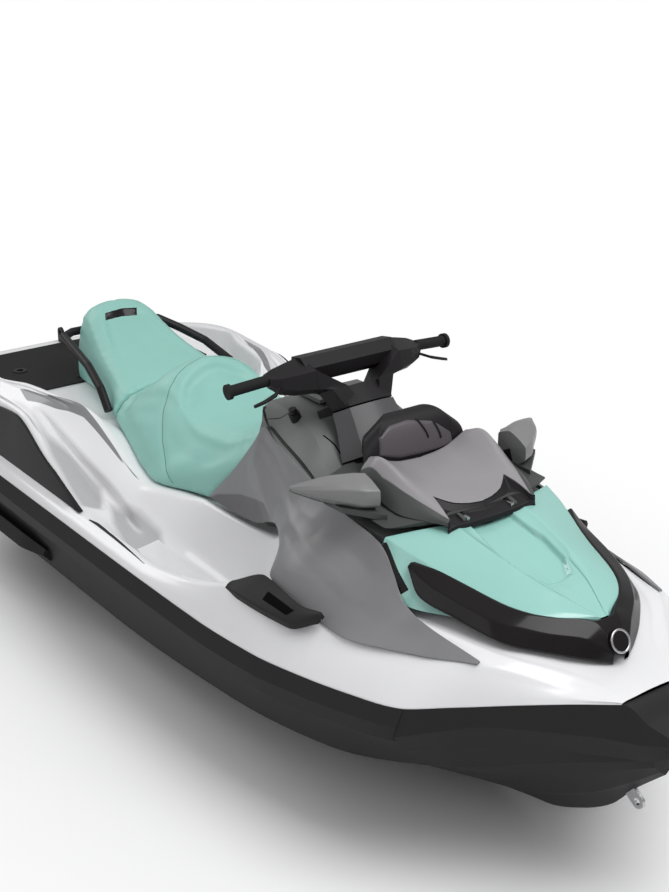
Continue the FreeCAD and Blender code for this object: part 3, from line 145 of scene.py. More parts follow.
def along(line, stations):
    """Points of a line at the stations, in the frame's metres, on the starboard side. A cubic
    runs through the line's points, with slopes from the weighted mean of the rises beside
    each point, or flat where they change sign, so it never overshoots."""
    line = np.array(line, float)
    xs = line[:, 0]
    stations = np.asarray(stations, float)
    step = np.diff(xs)
    i = np.clip(np.searchsorted(xs, stations, side="right") - 1, 0, len(xs) - 2)
    t = (stations - xs[i]) / step[i]
    values = [stations - STERN_TO_ORIGIN]
    for ys in line.T[1:]:
        rise = np.diff(ys) / step
        slope = np.concatenate([rise[:1], np.zeros(len(xs) - 2), rise[-1:]])
        same = rise[:-1] * rise[1:] > 0
        w0 = (2 * step[1:] + step[:-1])[same]
        w1 = (step[1:] + 2 * step[:-1])[same]
        slope[1:-1][same] = (w0 + w1) / (w0 / rise[:-1][same] + w1 / rise[1:][same])
        values.append(ys[i] * (1 + 2 * t) * (1 - t) ** 2 + slope[i] * step[i] * t * (1 - t) ** 2
                      + ys[i + 1] * t * t * (3 - 2 * t)
                      - slope[i + 1] * step[i] * t * t * (1 - t))
    return np.stack([values[0], -values[1], values[2] - DRAFT], axis=1) * MM


def strung(rails, radii, bows=None, arc=5, flat=4):
    """Skin over rails (lines, stations, 3). At each inner rail the corner is a quadratic arc
    that begins and ends the radius away from it. Between corners the skin is straight, or
    bowed outwards as a parabola of the bow's height. Returns (stations, columns, 3)."""
    count = len(rails)
    radii = [np.broadcast_to(np.asarray(r, float) * MM, rails.shape[1]) for r in radii]
    tangent = np.gradient(rails.mean(axis=0), axis=0)
    spans = rails[1:] - rails[:-1]
    lengths = np.linalg.norm(spans, axis=2) + 1e-9
    ends = [(rails[0], rails[0])]
    corners = [rails[0][:, None]]
    for k in range(1, count - 1):
        trim = np.minimum(radii[k - 1], 0.45 * np.minimum(lengths[k - 1], lengths[k]))[:, None]
        start = rails[k] - spans[k - 1] / lengths[k - 1][:, None] * trim
        end = rails[k] + spans[k] / lengths[k][:, None] * trim
        t = np.linspace(0, 1, arc)[None, :, None]
        corners.append((1 - t) ** 2 * start[:, None] + 2 * t * (1 - t) * rails[k][:, None]
                       + t * t * end[:, None])
        ends.append((start, end))
    corners.append(rails[-1][:, None])
    ends.append((rails[-1], rails[-1]))
    columns = [corners[0]]
    for k in range(1, count):
        start, end = ends[k - 1][1], ends[k][0]
        edge = 0.06 if bows is None or bows[k - 1] is None else 1 / (flat + 1)
        t = np.linspace(edge, 1 - edge, flat)[None, :, None]
        run = start[:, None] * (1 - t) + end[:, None] * t
        if bows is not None and bows[k - 1] is not None:
            out = np.cross(tangent, end - start)
            out /= np.linalg.norm(out, axis=1, keepdims=True) + 1e-12
            height = np.broadcast_to(np.asarray(bows[k - 1], float) * MM, len(start))
            run = run + out[:, None] * (height[:, None, None] * 4 * t * (1 - t))
        columns += [run, corners[k]]
    return np.concatenate(columns, axis=1)


def both_sides(net):
    """Starboard net and its mirror image as one net, joined on the centreline."""
    port = net[:, ::-1] * (1, -1, 1)
    if np.abs(net[:, -1, 1]).max() < 1e-6:
        port = port[:, 1:]
    return np.concatenate([net, port], axis=1)


def added(name, data):
    """New object in the scene that carries some data."""
    thing = bpy.data.objects.new(name, data)
    bpy.context.scene.collection.objects.link(thing)
    return thing


def piece(name, nets, material, body, replaces=()):
    """Object from grids of points (rows, columns, 3). Each quad runs along the rows first, so
    that its face looks outwards when rows go forward and columns go from outboard up."""
    points, quads, start = [], [], 0
    for net in nets:
        rows, columns = net.shape[:2]
        index = np.arange(rows * columns).reshape(rows, columns) + start
        points.append(net.reshape(-1, 3))
        quads.append(np.stack([index[:-1, :-1], index[1:, :-1], index[1:, 1:],
                               index[:-1, 1:]], axis=-1).reshape(-1, 4))
        start += rows * columns
    points, quads = np.concatenate(points), np.concatenate(quads)
    mesh = bpy.data.meshes.new(name)
    mesh.vertices.add(len(points))
    mesh.vertices.foreach_set("co", points.astype(np.float32).ravel())
    mesh.loops.add(quads.size)
    mesh.loops.foreach_set("vertex_index", quads.astype(np.int32).ravel())
    mesh.polygons.add(len(quads))
    mesh.polygons.foreach_set("loop_start", np.arange(0, quads.size, 4, dtype=np.int32))
    mesh.polygons.foreach_set("use_smooth", np.full(len(quads), True))
    mesh.update(calc_edges=True)
    mesh.validate()
    mesh.materials.append(material)
    thing = added(name, mesh)
    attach(thing, body)
    if replaces:
        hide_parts(*replaces)
    return thing


def bell(stations, low, high, soft=60.0):
    """1 between two stations and 0 outside them, with smooth ends."""
    rise = np.clip((stations - low) / soft + 0.5, 0, 1)
    fall = np.clip((high - stations) / soft + 0.5, 0, 1)
    return (rise * rise * (3 - 2 * rise)) * (fall * fall * (3 - 2 * fall))


GELCOAT = finish("white_gelcoat", (234, 234, 236), 0.3, grain=260.0, depth=0.004,
                 mottle=0.012, coat=0.3)
deck_stations = np.unique(np.concatenate([
    np.linspace(DECK_AFT, 760, 46), np.linspace(760, 1900, 150), np.linspace(1900, NOSE_EDGE, 96)]))
deck_rails = np.stack([along([(s, b, h - FLANGE) for s, b, h in SHEER], deck_stations)]
                      + [along(line, deck_stations) for line in
                         (SHEER, BAND, SHOULDER, FLOOR_OUTER, FLOOR_INNER, RIDGE, PLATEAU)]
                      + [along([(s, 0, h) for s, b, h in PLATEAU], deck_stations)])
DECK_CORNERS = (6, 14, 16, 26, 34, 20, 14)
hip = bell(deck_stations, 560, 880, 160)
slope = bell(deck_stations, 900, 1380, 260)
deck_net = strung(deck_rails, DECK_CORNERS,
                  (None, 3.0, None, -10 * hip, -22 * slope, -6 * hip, None, None), flat=6)


def inward(net, outline, upright=False):
    """Distance in mm of a net's points to an outline of (station, breadth) corners seen from
    above, or of (station, height) corners seen from the side: positive inside."""
    x, y = net[..., 0] / MM + STERN_TO_ORIGIN, net[..., 1] / MM
    if upright:
        y = net[..., 2] / MM + DRAFT
    inside = np.zeros(x.shape, bool)
    near = np.full(x.shape, 1e9)
    for (ax, ay), (bx, by) in zip(outline, outline[1:] + outline[:1]):
        crossing = (ay > y) != (by > y)
        inside ^= crossing & (x < ax + (bx - ax) * (y - ay) / (by - ay if by != ay else 1e-9))
        share = ((x - ax) * (bx - ax) + (y - ay) * (by - ay)) / ((bx - ax) ** 2 + (by - ay) ** 2)
        share = np.clip(share, 0, 1)
        near = np.minimum(near, np.hypot(x - ax - share * (bx - ax), y - ay - share * (by - ay)))
    return np.where(inside, near, -near)


def sunk(net, outline, depth, soft=16.0):
    """Net with the area inside an outline pressed in along its normals: the depth times a
    smooth step of each point's distance to the outline."""
    normal = np.cross(np.gradient(net, axis=0), np.gradient(net, axis=1))
    normal /= np.linalg.norm(normal, axis=2, keepdims=True) + 1e-12
    step = np.clip(inward(net, outline) / soft, 0, 1)
    return net - normal * (depth * MM * step * step * (3 - 2 * step))[..., None]


REAR_FACET = [(794, -496), (928, -494), (1066, -450), (1166, -425), (1261, -468), (1211, -533),
              (1004, -532)]
FRONT_FACET = [(1224, -439), (1358, -395), (1475, -383), (1860, -540), (1627, -547),
               (1327, -487)]
STRIPE = [(645, -463), (801, -413), (946, -360), (1102, -351), (1266, -342), (1272, -345),
          (1112, -364), (964, -381), (862, -433), (740, -480)]
FACET_DEPTH, FACET_EDGE = 5.0, 20.0
for outline in (REAR_FACET, FRONT_FACET):
    deck_net = sunk(deck_net, outline, FACET_DEPTH, FACET_EDGE)
# The stern wall goes down from the skin's first row, with a rounded corner at its top.
whole = both_sides(deck_net)
whole[..., 0] = np.maximum(whole[..., 0], (DECK_AFT - STERN_TO_ORIGIN) * MM)
wall = whole[:1].repeat(4, axis=0)
wall[0, :, 2] = np.minimum(wall[0, :, 2] - 0.001, (SHEER[0][2] - FLANGE - DRAFT) * MM)
wall[:, :, 0] += np.array([0.0, 0.0, 0.0006, 0.0026])[:, None]
wall[1:3, :, 2] -= np.array([0.003, 0.0008])[:, None]
whole[0, :, 0] += 0.003
deck_grid = np.concatenate([wall, whole[1:]])
deck = piece("deck_skin", [deck_grid], GELCOAT, "craft", ["deck"])


def to_starboard(net):
    """Net with its port side folded over to starboard."""
    return net * (1, 0, 1) - np.abs(net) * (0, 1, 0)


def painted(material, things, name, fields, colour, soft):
    """Paints a field of distances, kept as an attribute on the pieces, over a material: the
    colour covers where the distance is above 0, blending over the soft width in mm."""
    for thing, field in zip(things, fields):
        layer = thing.data.attributes.new(name, "FLOAT", "POINT")
        layer.data.foreach_set("value", field.astype(np.float32).ravel())
    tree = material.node_tree
    read = tree.nodes.new("ShaderNodeAttribute")
    read.attribute_name = name
    share = tree.nodes.new("ShaderNodeMapRange")
    share.inputs["From Min"].default_value = -0.2 * soft
    share.inputs["From Max"].default_value = soft
    cover = tree.nodes.new("ShaderNodeMix")
    cover.data_type = "RGBA"
    cover.inputs["B"].default_value = colour
    base = tree.nodes["Principled BSDF"].inputs["Base Color"]
    tree.links.new(base.links[0].from_socket, cover.inputs["A"])
    tree.links.new(read.outputs["Fac"], share.inputs["Value"])
    tree.links.new(share.outputs["Result"], cover.inputs["Factor"])
    tree.links.new(cover.outputs["Result"], base)


mirrored = to_starboard(deck_grid)
# Painted shade: two sunk patches on each quarter are painted grey, darker than the white gelcoat,
# for the shade on their concave faces.
facet_shade_field = np.max([inward(mirrored, outline) for outline in (REAR_FACET, FRONT_FACET)], axis=0)
painted(GELCOAT, [deck], "painted_facet_shade", [facet_shade_field], srgb(184, 184, 186), 18.0)
painted(GELCOAT, [deck], "stripe", [inward(mirrored, STRIPE)], srgb(128, 129, 131), 1.0)


def spots(mesh):
    """Places of a mesh's vertices, one row each."""
    out = np.empty(len(mesh.vertices) * 3)
    mesh.vertices.foreach_get("co", out)
    return out.reshape(-1, 3)


def pressed(points, carrier, lift):
    """Points moved to the nearest spot of a carrier's surface and raised along its normal."""
    shape = points.shape
    mesh = bpy.data.meshes.new("pressed")
    mesh.from_pydata(points.reshape(-1, 3).tolist(), [], [])
    thing = added("pressed", mesh)
    wrap = thing.modifiers.new("wrap", "SHRINKWRAP")
    wrap.target = carrier
    wrap.wrap_mode = "ABOVE_SURFACE"
    wrap.offset = lift * MM
    found = thing.evaluated_get(bpy.context.evaluated_depsgraph_get()).to_mesh()
    out = spots(found).reshape(shape)
    bpy.data.objects.remove(thing)
    bpy.data.meshes.remove(mesh)
    return out


def paced(path, count, round_off=2):
    """Path of (station, breadth, height) corners as evenly spaced points in the frame's
    metres, its inner points averaged with their neighbours a few times to round it."""
    path = (np.array(path, float) - (STERN_TO_ORIGIN, 0, DRAFT)) * MM
    run = np.concatenate([[0], np.cumsum(np.linalg.norm(np.diff(path, axis=0), axis=1))])
    t = np.linspace(0, run[-1], count)
    points = np.stack([np.interp(t, run, path[:, k]) for k in range(3)], axis=1)
    for _ in range(round_off):
        points[1:-1] = (points[:-2] + 2 * points[1:-1] + points[2:]) / 4
    return points


def laid(name, edges, material, body, carrier, lift=0.7, across=5, count=60, sides=(1, -1)):
    """Thin patches between pairs of edge paths, pressed onto a carrier and raised a little.
    Their rims dip under the carrier's surface. Each is mirrored to the sides named."""
    nets = []
    for first, second in edges:
        a, b = paced(first, count), paced(second, count)
        share = np.linspace(0, 1, across)[None, :, None]
        sheet = a[:, None] * (1 - share) + b[:, None] * share
        sheet = pressed(sheet, carrier, 0)
        raised = pressed(sheet, carrier, 10)
        normal = (raised - sheet) / (10 * MM)
        rim = np.ones(sheet.shape[:2])
        rim[[0, -1]] = -1
        rim[:, [0, -1]] = -1
        sheet = sheet + normal * (rim * lift * MM)[..., None]
        turned = (np.cross(np.gradient(sheet, axis=0), np.gradient(sheet, axis=1))
                  * normal).sum() < 0
        for side in sides:
            net = sheet * (1, side, 1)
            nets.append(net[:, ::-1] if turned == (side > 0) else net)
    return piece(name, nets, material, body)


def strip(name, paths, width, material, body, carrier, lift=0.5, count=60, sides=(1, -1)):
    """Narrow band of a width along paths on a carrier, for seams, gaps and stripes."""
    edges = []
    for path in paths:
        middle = pressed(paced(path, count), carrier, 0)
        normal = pressed(middle, carrier, 10) - middle
        aside = np.cross(np.gradient(middle, axis=0), normal)
        aside *= width * MM / 2 / (np.linalg.norm(aside, axis=1, keepdims=True) + 1e-12)
        edges.append([(half / MM + (STERN_TO_ORIGIN, 0, DRAFT)).tolist()
                      for half in (middle - aside, middle + aside)])
    return laid(name, edges, material, body, carrier, lift, 5, count, sides)


# Edge slivers: a black sliver ahead of each quarter's insert, on the deck's edge. It is a thin
# film laid on the gelcoat.
SLIVER = [([(1300, -551, 449), (1348, -537, 448), (1510, -546, 447), (1676, -560, 444)],
           [(1305, -556, 448), (1423, -556, 447), (1543, -559, 446), (1679, -562, 443)])]
TRIM_BLACK = finish("trim_black", (33, 31, 33), 0.42, shine=0.2)
laid("edge_slivers", SLIVER, TRIM_BLACK, "craft", deck, lift=0.5)

# Footwell mats: pale rubber sheets with a fine grain, glued to the floor of each footwell. They
# stand in for the solid mats.
MAT_GREY = finish("mat_grey", (228, 229, 231), 0.7, grain=400.0, depth=0.05)
MATS = [([(1480, -400, 400), (1700, -380, 378), (1960, -378, 374)],
         [(1480, -485, 398), (1700, -492, 374), (1960, -488, 372)])]
mats = laid("footwell_mats", MATS, MAT_GREY, "craft", deck, lift=1.5, across=12)
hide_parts("floor_mats")

# Storage hood: the sea-green cover ahead of the lid, gloss moulding with two ridges, a shallow
# bowl between them and a flat step ahead of it. Its rear edge is an arc that faces the lid.
HOOD_FORE = 3006.0
HOOD_REAR_CENTRE, HOOD_REAR_CORNER, HOOD_REAR_BREADTH = 2572.0, 2486.0, 292.0
HOOD_LOW = [(2482, 298, 740), (2560, 314, 694), (2620, 322, 636), (2740, 262, 634),
            (2850, 176, 622), (2950, 100, 612), (3006, 12, 606)]
HOOD_EDGE = [(2482, 290, 772), (2550, 277, 754), (2600, 262, 741), (2650, 246, 726),
             (2700, 227, 715), (2750, 212, 704), (2800, 198, 695), (2850, 181, 687),
             (2900, 154, 681), (2950, 108, 676), (2985, 50, 671), (3006, 14, 667)]
HOOD_RIDGE = [(2482, 110, 802), (2570, 118, 786), (2700, 108, 758), (2840, 82, 722),
              (3006, 10, 669)]
HOOD_SCOOP = [(2482, 60, 802), (2570, 70, 780), (2700, 66, 744), (2840, 50, 708),
              (2880, 44, 703), (3006, 6, 668)]
HOOD_CENTRE = [(2482, 0, 800), (2570, 0, 776), (2700, 0, 738), (2840, 0, 700),
               (2880, 0, 700), (3006, 0, 668)]
sag = HOOD_REAR_CENTRE - HOOD_REAR_CORNER
HOOD_ARC = (HOOD_REAR_BREADTH ** 2 + sag ** 2) / (2 * sag)


def from_arc(line, share, fore, gap=1.5):
    """Points along a line at shares of its run, from where it meets the rear arc, plus the
    gap, to the fore station. The meeting station is found by stepping towards the arc."""
    start = HOOD_REAR_CENTRE
    for _ in range(12):
        breadth = -along(line, [start])[0, 1] / MM
        start = (HOOD_REAR_CENTRE - HOOD_ARC + gap
                 + math.sqrt(max(0.0, HOOD_ARC ** 2 - breadth ** 2)))
    return along(line, start + share * (fore - start))


TEAL = finish("teal_gelcoat", (150, 203, 194), 0.2, grain=260.0, depth=0.004, mottle=0.02,
              coat=0.5)
share = np.linspace(0, 1, 70)
hood_rails = np.stack([from_arc(line, share, HOOD_FORE) for line in
                       (HOOD_LOW, HOOD_EDGE, HOOD_RIDGE, HOOD_SCOOP, HOOD_CENTRE)])
blunt = 5 + 70 * bell(hood_rails[2][:, 0] / MM + STERN_TO_ORIGIN, 2830, 3200, 120)
hood_half = strung(hood_rails, (4, blunt, blunt), (None, 2.0, -2.0, None), flat=12)
BOWL = [(2530, -80), (2605, -76), (2698, -86), (2790, -76), (2846, -44), (2850, 40), (2530, 40)]
BOWL_DEPTH, BOWL_EDGE = 14.0, 13.0
hood_half = sunk(hood_half, BOWL, BOWL_DEPTH, BOWL_EDGE)
hood_net = both_sides(hood_half)
lip = hood_net[:1].repeat(4, axis=0)
lip[0, :, 2] -= 0.03
lip[1:, :, 0] += np.array([0.0, 0.0004, 0.0016])[:, None]
lip[1:, :, 2] -= np.array([0.0016, 0.0004, 0.0])[:, None]
hood_net[0, :, 0] += 0.0016
hood = piece("hood_skin", [np.concatenate([lip, hood_net])], TEAL, "craft", ["hood"])

# Hood seals: black rubber that fills the gap between the hood's side and the panel. It is a
# band laid on the hood's side.
SEAL = [(2474, -294, 762), (2520, -304, 728), (2560, -313, 698), (2606, -318, 664)]
strip("hood_seals", [SEAL], 36.0, TRIM_BLACK, "craft", hood, lift=1.0)

# Nose grille: a gloss black V clipped around the hood's front, moulded plastic, with a stepped
# crease along it.
GRILLE_AFT, GRILLE_FORE = 2592.0, 3072.0
GRILLE_LOW = [(2592, 296, 726), (2650, 308, 672), (2754, 282, 648), (2890, 242, 625),
              (3000, 142, 604), (3050, 70, 586), (3072, 28, 576)]
GRILLE_STEP = [(2592, 292, 730), (2650, 284, 706), (2750, 266, 684), (2850, 234, 666),
               (2950, 166, 652), (3020, 84, 640), (3072, 26, 600)]
GRILLE_TOP = [(2592, 286, 736), (2650, 250, 727), (2700, 231, 716), (2750, 216, 706),
              (2800, 202, 697), (2850, 186, 689), (2900, 160, 683), (2950, 114, 678),
              (3000, 46, 672), (3040, 30, 644), (3072, 20, 606)]
GLOSS_BLACK = finish("gloss_black", (24, 21, 23), 0.16, grain=300.0, depth=0.004, coat=0.12,
                     shine=0.2)
stations = np.concatenate([np.linspace(GRILLE_AFT, 2980, 60), np.linspace(2985, GRILLE_FORE, 30)])
grille_rails = [along(line, stations) for line in (GRILLE_LOW, GRILLE_STEP, GRILLE_TOP)]
under = grille_rails[0] - (0.012, -0.02, 0.016)
middle = grille_rails[2] * (1, 0, 1)
middle[:, 2] -= 0.05 * np.clip((3010 - stations) / 20, 0, 1)
grille_net = both_sides(strung(np.stack([under] + grille_rails + [middle]), (5, 4, 5)))
piece("grille_skin", [grille_net], GLOSS_BLACK, "craft", ["nose_grille"])

# Side panels: grey plastic mouldings from beside the seat to the bow, screwed to the deck, with
# a crease and a hollow. Their edge shows the moulding's thickness.
PANEL_LOW = [(1552, 256, 540), (1680, 272, 553), (1870, 292, 580), (1980, 308, 626),
             (2041, 324, 646), (2120, 372, 622), (2190, 452, 580), (2300, 470, 566),
             (2430, 466, 556), (2500, 464, 550), (2760, 396, 580), (2905, 328, 600)]
PANEL_CREASE = [(1552, 252, 543), (1680, 256, 606), (1766, 262, 650), (1870, 276, 690),
                (2041, 312, 700), (2150, 356, 680), (2300, 398, 664), (2460, 398, 628),
                (2620, 374, 604), (2760, 366, 600), (2905, 322, 602)]
PANEL_TOP = [(1552, 247, 546), (1680, 236, 676), (1766, 222, 786), (1810, 212, 846),
             (1870, 222, 830), (2150, 272, 796), (2300, 292, 776), (2478, 300, 752),
             (2560, 316, 700), (2620, 326, 644), (2700, 338, 632), (2905, 318, 604)]
PANEL_GREY = finish("panel_grey", (126, 126, 128), 0.38, grain=700.0, depth=0.012)
stations = np.linspace(1552, 2905, 220)
panel_rails = np.stack([along(line, stations) for line in (PANEL_LOW, PANEL_CREASE, PANEL_TOP)])
hollow = bell(stations, 2080, 2440, 200)
panel_net = strung(panel_rails, (18,), (4 * hollow, -10 * hollow), flat=18)


def ridged(net, line, height, reach):
    """Net raised outwards along a line of (station, height) corners: the height times one
    less the distance over the reach, which leaves a crisp crease with straight flanks."""
    x, z = net[..., 0] / MM + STERN_TO_ORIGIN, net[..., 2] / MM + DRAFT
    near = np.full(x.shape, 1e9)
    for (ax, az), (bx, bz) in zip(line, line[1:]):
        share = ((x - ax) * (bx - ax) + (z - az) * (bz - az)) / ((bx - ax) ** 2 + (bz - az) ** 2)
        share = np.clip(share, 0, 1)
        near = np.minimum(near, np.hypot(x - ax - share * (bx - ax), z - az - share * (bz - az)))
    lift = height * MM * np.clip(1 - near / reach, 0, 1)
    lift[:, [0, -1]] = 0
    return net - (0, 1, 0) * lift[..., None]


# Creases: the line's corners, the height (negative for a hollow) and the reach, in mm.
for line, height, reach in (
        ([(1803, 745), (1875, 712), (2002, 636), (2110, 664)], 8.0, 60.0),
        ([(1819, 806), (1894, 790), (1994, 755), (2075, 722)], -5.0, 30.0),
        ([(2150, 726), (2215, 728)], 7.0, 46.0),
        ([(2257, 700), (2316, 706), (2420, 700), (2500, 680)], -7.0, 60.0),
        ([(2240, 620), (2420, 640), (2640, 608)], 5.0, 60.0)):
    panel_net = ridged(panel_net, line, height, reach)
# The panel's foot beside and under the seat is painted darker.
PANEL_DARK_FOOT = [(1540, 530), (1600, 566), (1748, 622), (1928, 666), (1996, 640), (2010, 600),
         (1870, 560), (1680, 530)]
PANEL_THICK = 0.006
panels = []
for name, side in (("starboard", 1), ("port", -1)):
    net = panel_net if side > 0 else panel_net[:, ::-1] * (1, -1, 1)
    panel = piece("panel_skin_" + name, [net], PANEL_GREY, "craft", ["side_panel_" + name])
    panels.append((panel, inward(net, PANEL_DARK_FOOT, upright=True)))
    shell = panel.modifiers.new("thickness", "SOLIDIFY")
    shell.thickness = PANEL_THICK
    shell.offset = -1
    shell.use_even_offset = False
    edge = panel.modifiers.new("edge", "BEVEL")
    edge.width = 0.0015
    edge.segments = 2
    edge.limit_method = "ANGLE"
    edge.angle_limit = math.radians(50)

painted(PANEL_GREY, [panel for panel, field in panels], "panel_dark_foot",
        [field for panel, field in panels], srgb(88, 87, 89), 4.0)

# Seats: moulded foam under a stretched sea-green vinyl cover, on catches. The rear seat has a
# tall backrest and the front one a bolster. Each form is blown up a little by a short cloth
# run, so that its edges crown as a stuffed cover does.
SEAT_AFT, SEAT_SPLIT = 468.0, 960.0
SEAT_TOP = [(468, 0, 872), (500, 0, 886), (545, 0, 878), (610, 0, 836), (700, 0, 786),
            (820, 0, 746), (960, 0, 732), (1040, 0, 770), (1105, 0, 828), (1150, 0, 840),
            (1200, 0, 820), (1290, 0, 758), (1390, 0, 730), (1500, 0, 733), (1640, 0, 782),
            (1800, 0, 880)]
SEAT_CREST = [(468, 96, 862), (500, 108, 874), (545, 118, 866), (610, 132, 828),
              (700, 150, 780), (820, 168, 740), (960, 172, 712), (1040, 160, 744),
              (1105, 138, 800), (1150, 132, 808), (1200, 136, 786), (1290, 148, 738),
              (1390, 152, 716), (1500, 142, 716), (1640, 118, 764), (1800, 96, 868)]
SEAT_SIDE = [(468, 144, 800), (545, 162, 800), (610, 176, 772), (700, 198, 732),
             (820, 222, 700), (960, 246, 680), (1060, 246, 688), (1140, 220, 716),
             (1200, 206, 722), (1290, 216, 684), (1390, 222, 640), (1500, 206, 640),
             (1640, 170, 714), (1800, 132, 830)]
SEAT_LOW = [(468, 156, 604), (600, 176, 616), (730, 204, 634), (914, 258, 634),
            (1060, 296, 600), (1310, 326, 524), (1450, 276, 528), (1544, 250, 537),
            (1800, 180, 800)]
SEAT_JOINT = np.array([(535, 1548), (676, 1676), (786, 1750), (850, 1770), (1305, 1770)], float)
SEAT_SHRINK, SEAT_VOXEL, SEAT_SWELL, SEAT_PRESSURE, SEAT_FRAMES = 6.0, 8.5, 5.0, 4.0, 20
REAR_DEPTH, REAR_RUNS_OUT, FRONT_DEPTH, FRONT_RUNS_OUT, HOLLOW_EDGE = 18.0, 760, 32.0, 1300, 30.0
SEAT_FOOT = (0, 0.014, -0.018)


def to_joint(line, share, start, gap=1.0):
    """Points at shares of a line's run from the start station to the console's joint, where
    the station is found by halving the distance to the joint at the line's height."""
    end = 1700.0
    for _ in range(24):
        height = along(line, [end])[0, 2] / MM + DRAFT
        end += 0.5 * (np.interp(height, *SEAT_JOINT.T) - gap - end)
    return along(line, start + share * (end - start))


def stuffed(form, voxel, swell, pressure, frames):
    """Turns a closed form into a stuffed one: even quads of the voxel's size, smoothed, then
    blown up as cloth, with no point moved further than the swell."""
    mend = bmesh.new()
    mend.from_mesh(form.data)
    bmesh.ops.remove_doubles(mend, verts=mend.verts, dist=1e-5)
    bmesh.ops.holes_fill(mend, edges=mend.edges, sides=0)
    bmesh.ops.recalc_face_normals(mend, faces=mend.faces)
    mend.to_mesh(form.data)
    mend.free()
    remesh = form.modifiers.new("remesh", "REMESH")
    remesh.mode = "VOXEL"
    remesh.voxel_size = voxel * MM
    smooth = form.modifiers.new("smooth", "SMOOTH")
    smooth.factor = 0.5
    smooth.iterations = 7
    view = bpy.context.evaluated_depsgraph_get()
    mesh = bpy.data.meshes.new_from_object(form.evaluated_get(view))
    form.modifiers.clear()
    form.data = mesh
    start = spots(mesh)
    cloth = form.modifiers.new("cloth", "CLOTH")
    cloth.settings.use_pressure = True
    cloth.settings.uniform_pressure_force = pressure
    cloth.settings.effector_weights.gravity = 0
    cloth.settings.quality = 4
    cloth.settings.mass = 0.3
    for step in range(1, frames + 1):
        bpy.context.scene.frame_set(step)
    view = bpy.context.evaluated_depsgraph_get()
    blown = form.evaluated_get(view).to_mesh()
    end = spots(blown)
    form.evaluated_get(view).to_mesh_clear()
    form.modifiers.remove(cloth)
    bpy.context.scene.frame_set(1)
    move = end - start
    length = np.linalg.norm(move, axis=1, keepdims=True) + 1e-9
    start = start + move * np.minimum(1.0, swell * MM / length)
    mesh.vertices.foreach_set("co", start.ravel())
    mesh.polygons.foreach_set("use_smooth", np.full(len(mesh.polygons), True))
    mesh.update()
    finer = form.modifiers.new("finer", "SUBSURF")
    finer.levels = finer.render_levels = 1


VINYL = finish("teal_vinyl", (146, 200, 190), 0.46, grain=1500.0, depth=0.05, mottle=0.015)


def seat_form(name, rows, node, hollow, depth, runs_out):
    """Seat between two stations, strung over five lines a side and closed underneath, with
    the hollow's outline pressed in. The hollow runs out towards a station."""
    half = strung(rows, (8, 36, 26), (None, 6.0, 6.0, 4.0), arc=8, flat=8)
    share = bell(half[..., 0] / MM + STERN_TO_ORIGIN, 0, runs_out, 260)
    net = both_sides(sunk(half, hollow, depth * share, HOLLOW_EDGE))
    ring = np.concatenate([net, net[:, :1]], axis=1)
    return piece(name, [ring], VINYL, "craft", [node])


def seat_lines(place):
    """Rails of a seat, a little inside its CAD lines; place picks the points on a line."""
    rails = []
    for line in (SEAT_LOW, SEAT_LOW, SEAT_SIDE, SEAT_CREST, SEAT_TOP):
        rails.append(place(line) + (0, SEAT_SHRINK * MM, -0.5 * SEAT_SHRINK * MM))
    rails[0] = rails[0] + SEAT_FOOT
    rails[4][:, 1] = 0.0
    floor = place(PLATEAU)[:, 2] + 0.003
    rails[0][:, 2] = np.maximum(np.minimum(rails[1][:, 2] - 0.004, rails[0][:, 2]), floor)
    return np.stack(rails)


rear_rows = seat_lines(lambda line: along(line, np.linspace(SEAT_AFT + 3, SEAT_SPLIT - 2, 60)))
REAR_HOLLOW = [(566, -96), (556, 0), (556, 60), (940, 60), (940, -165), (740, -146)]
FRONT_HOLLOW = [(1250, -176), (1200, -140), (1180, -104), (1168, -48), (1164, 60), (1560, 60),
                (1560, -150), (1340, -184)]
seat_rear = seat_form("seat_rear_cover", rear_rows, "seat_rear", REAR_HOLLOW,
                      REAR_DEPTH, REAR_RUNS_OUT)


def front_place(line):
    """Points of a line of the front seat, which ends at the console's joint."""
    if line is PLATEAU:
        return along(line, np.linspace(SEAT_SPLIT + 2, SEAT_JOINT[0, 1], 90))
    return to_joint(line, np.linspace(0, 1, 90), SEAT_SPLIT + 2)


front_rows = seat_lines(front_place)
seat_front = seat_form("seat_front_cover", front_rows, "seat_front", FRONT_HOLLOW,
                       FRONT_DEPTH, FRONT_RUNS_OUT)
FRONT_SEAM = [(1393, -296, 533), (1344, -288, 567), (1264, -253, 637), (1201, -212, 713),
              (1178, -178, 758), (1160, -140, 800), (1140, -84, 828), (1126, 0, 836)]
for seat in (seat_rear, seat_front):
    stuffed(seat, SEAT_VOXEL, SEAT_SWELL, SEAT_PRESSURE, SEAT_FRAMES)
# The seam's groove: points near its path move towards the seat's middle.
GROOVE_DEPTH, GROOVE_WIDTH, SEAT_MIDDLE = 0.0032, 0.009, (0, 0, 0.42)
mesh = seat_front.data
points = spots(mesh)
seam = pressed(paced(FRONT_SEAM, 120), seat_front, 0)
near = np.linalg.norm(to_starboard(points)[:, None] - seam, axis=2).min(axis=1)
middle = points * (1, 0, 0) + SEAT_MIDDLE
towards = (middle - points) / np.linalg.norm(middle - points, axis=1, keepdims=True)
points += towards * (GROOVE_DEPTH * np.exp(-(near / GROOVE_WIDTH) ** 2))[:, None]
mesh.vertices.foreach_set("co", points.ravel())
mesh.update()
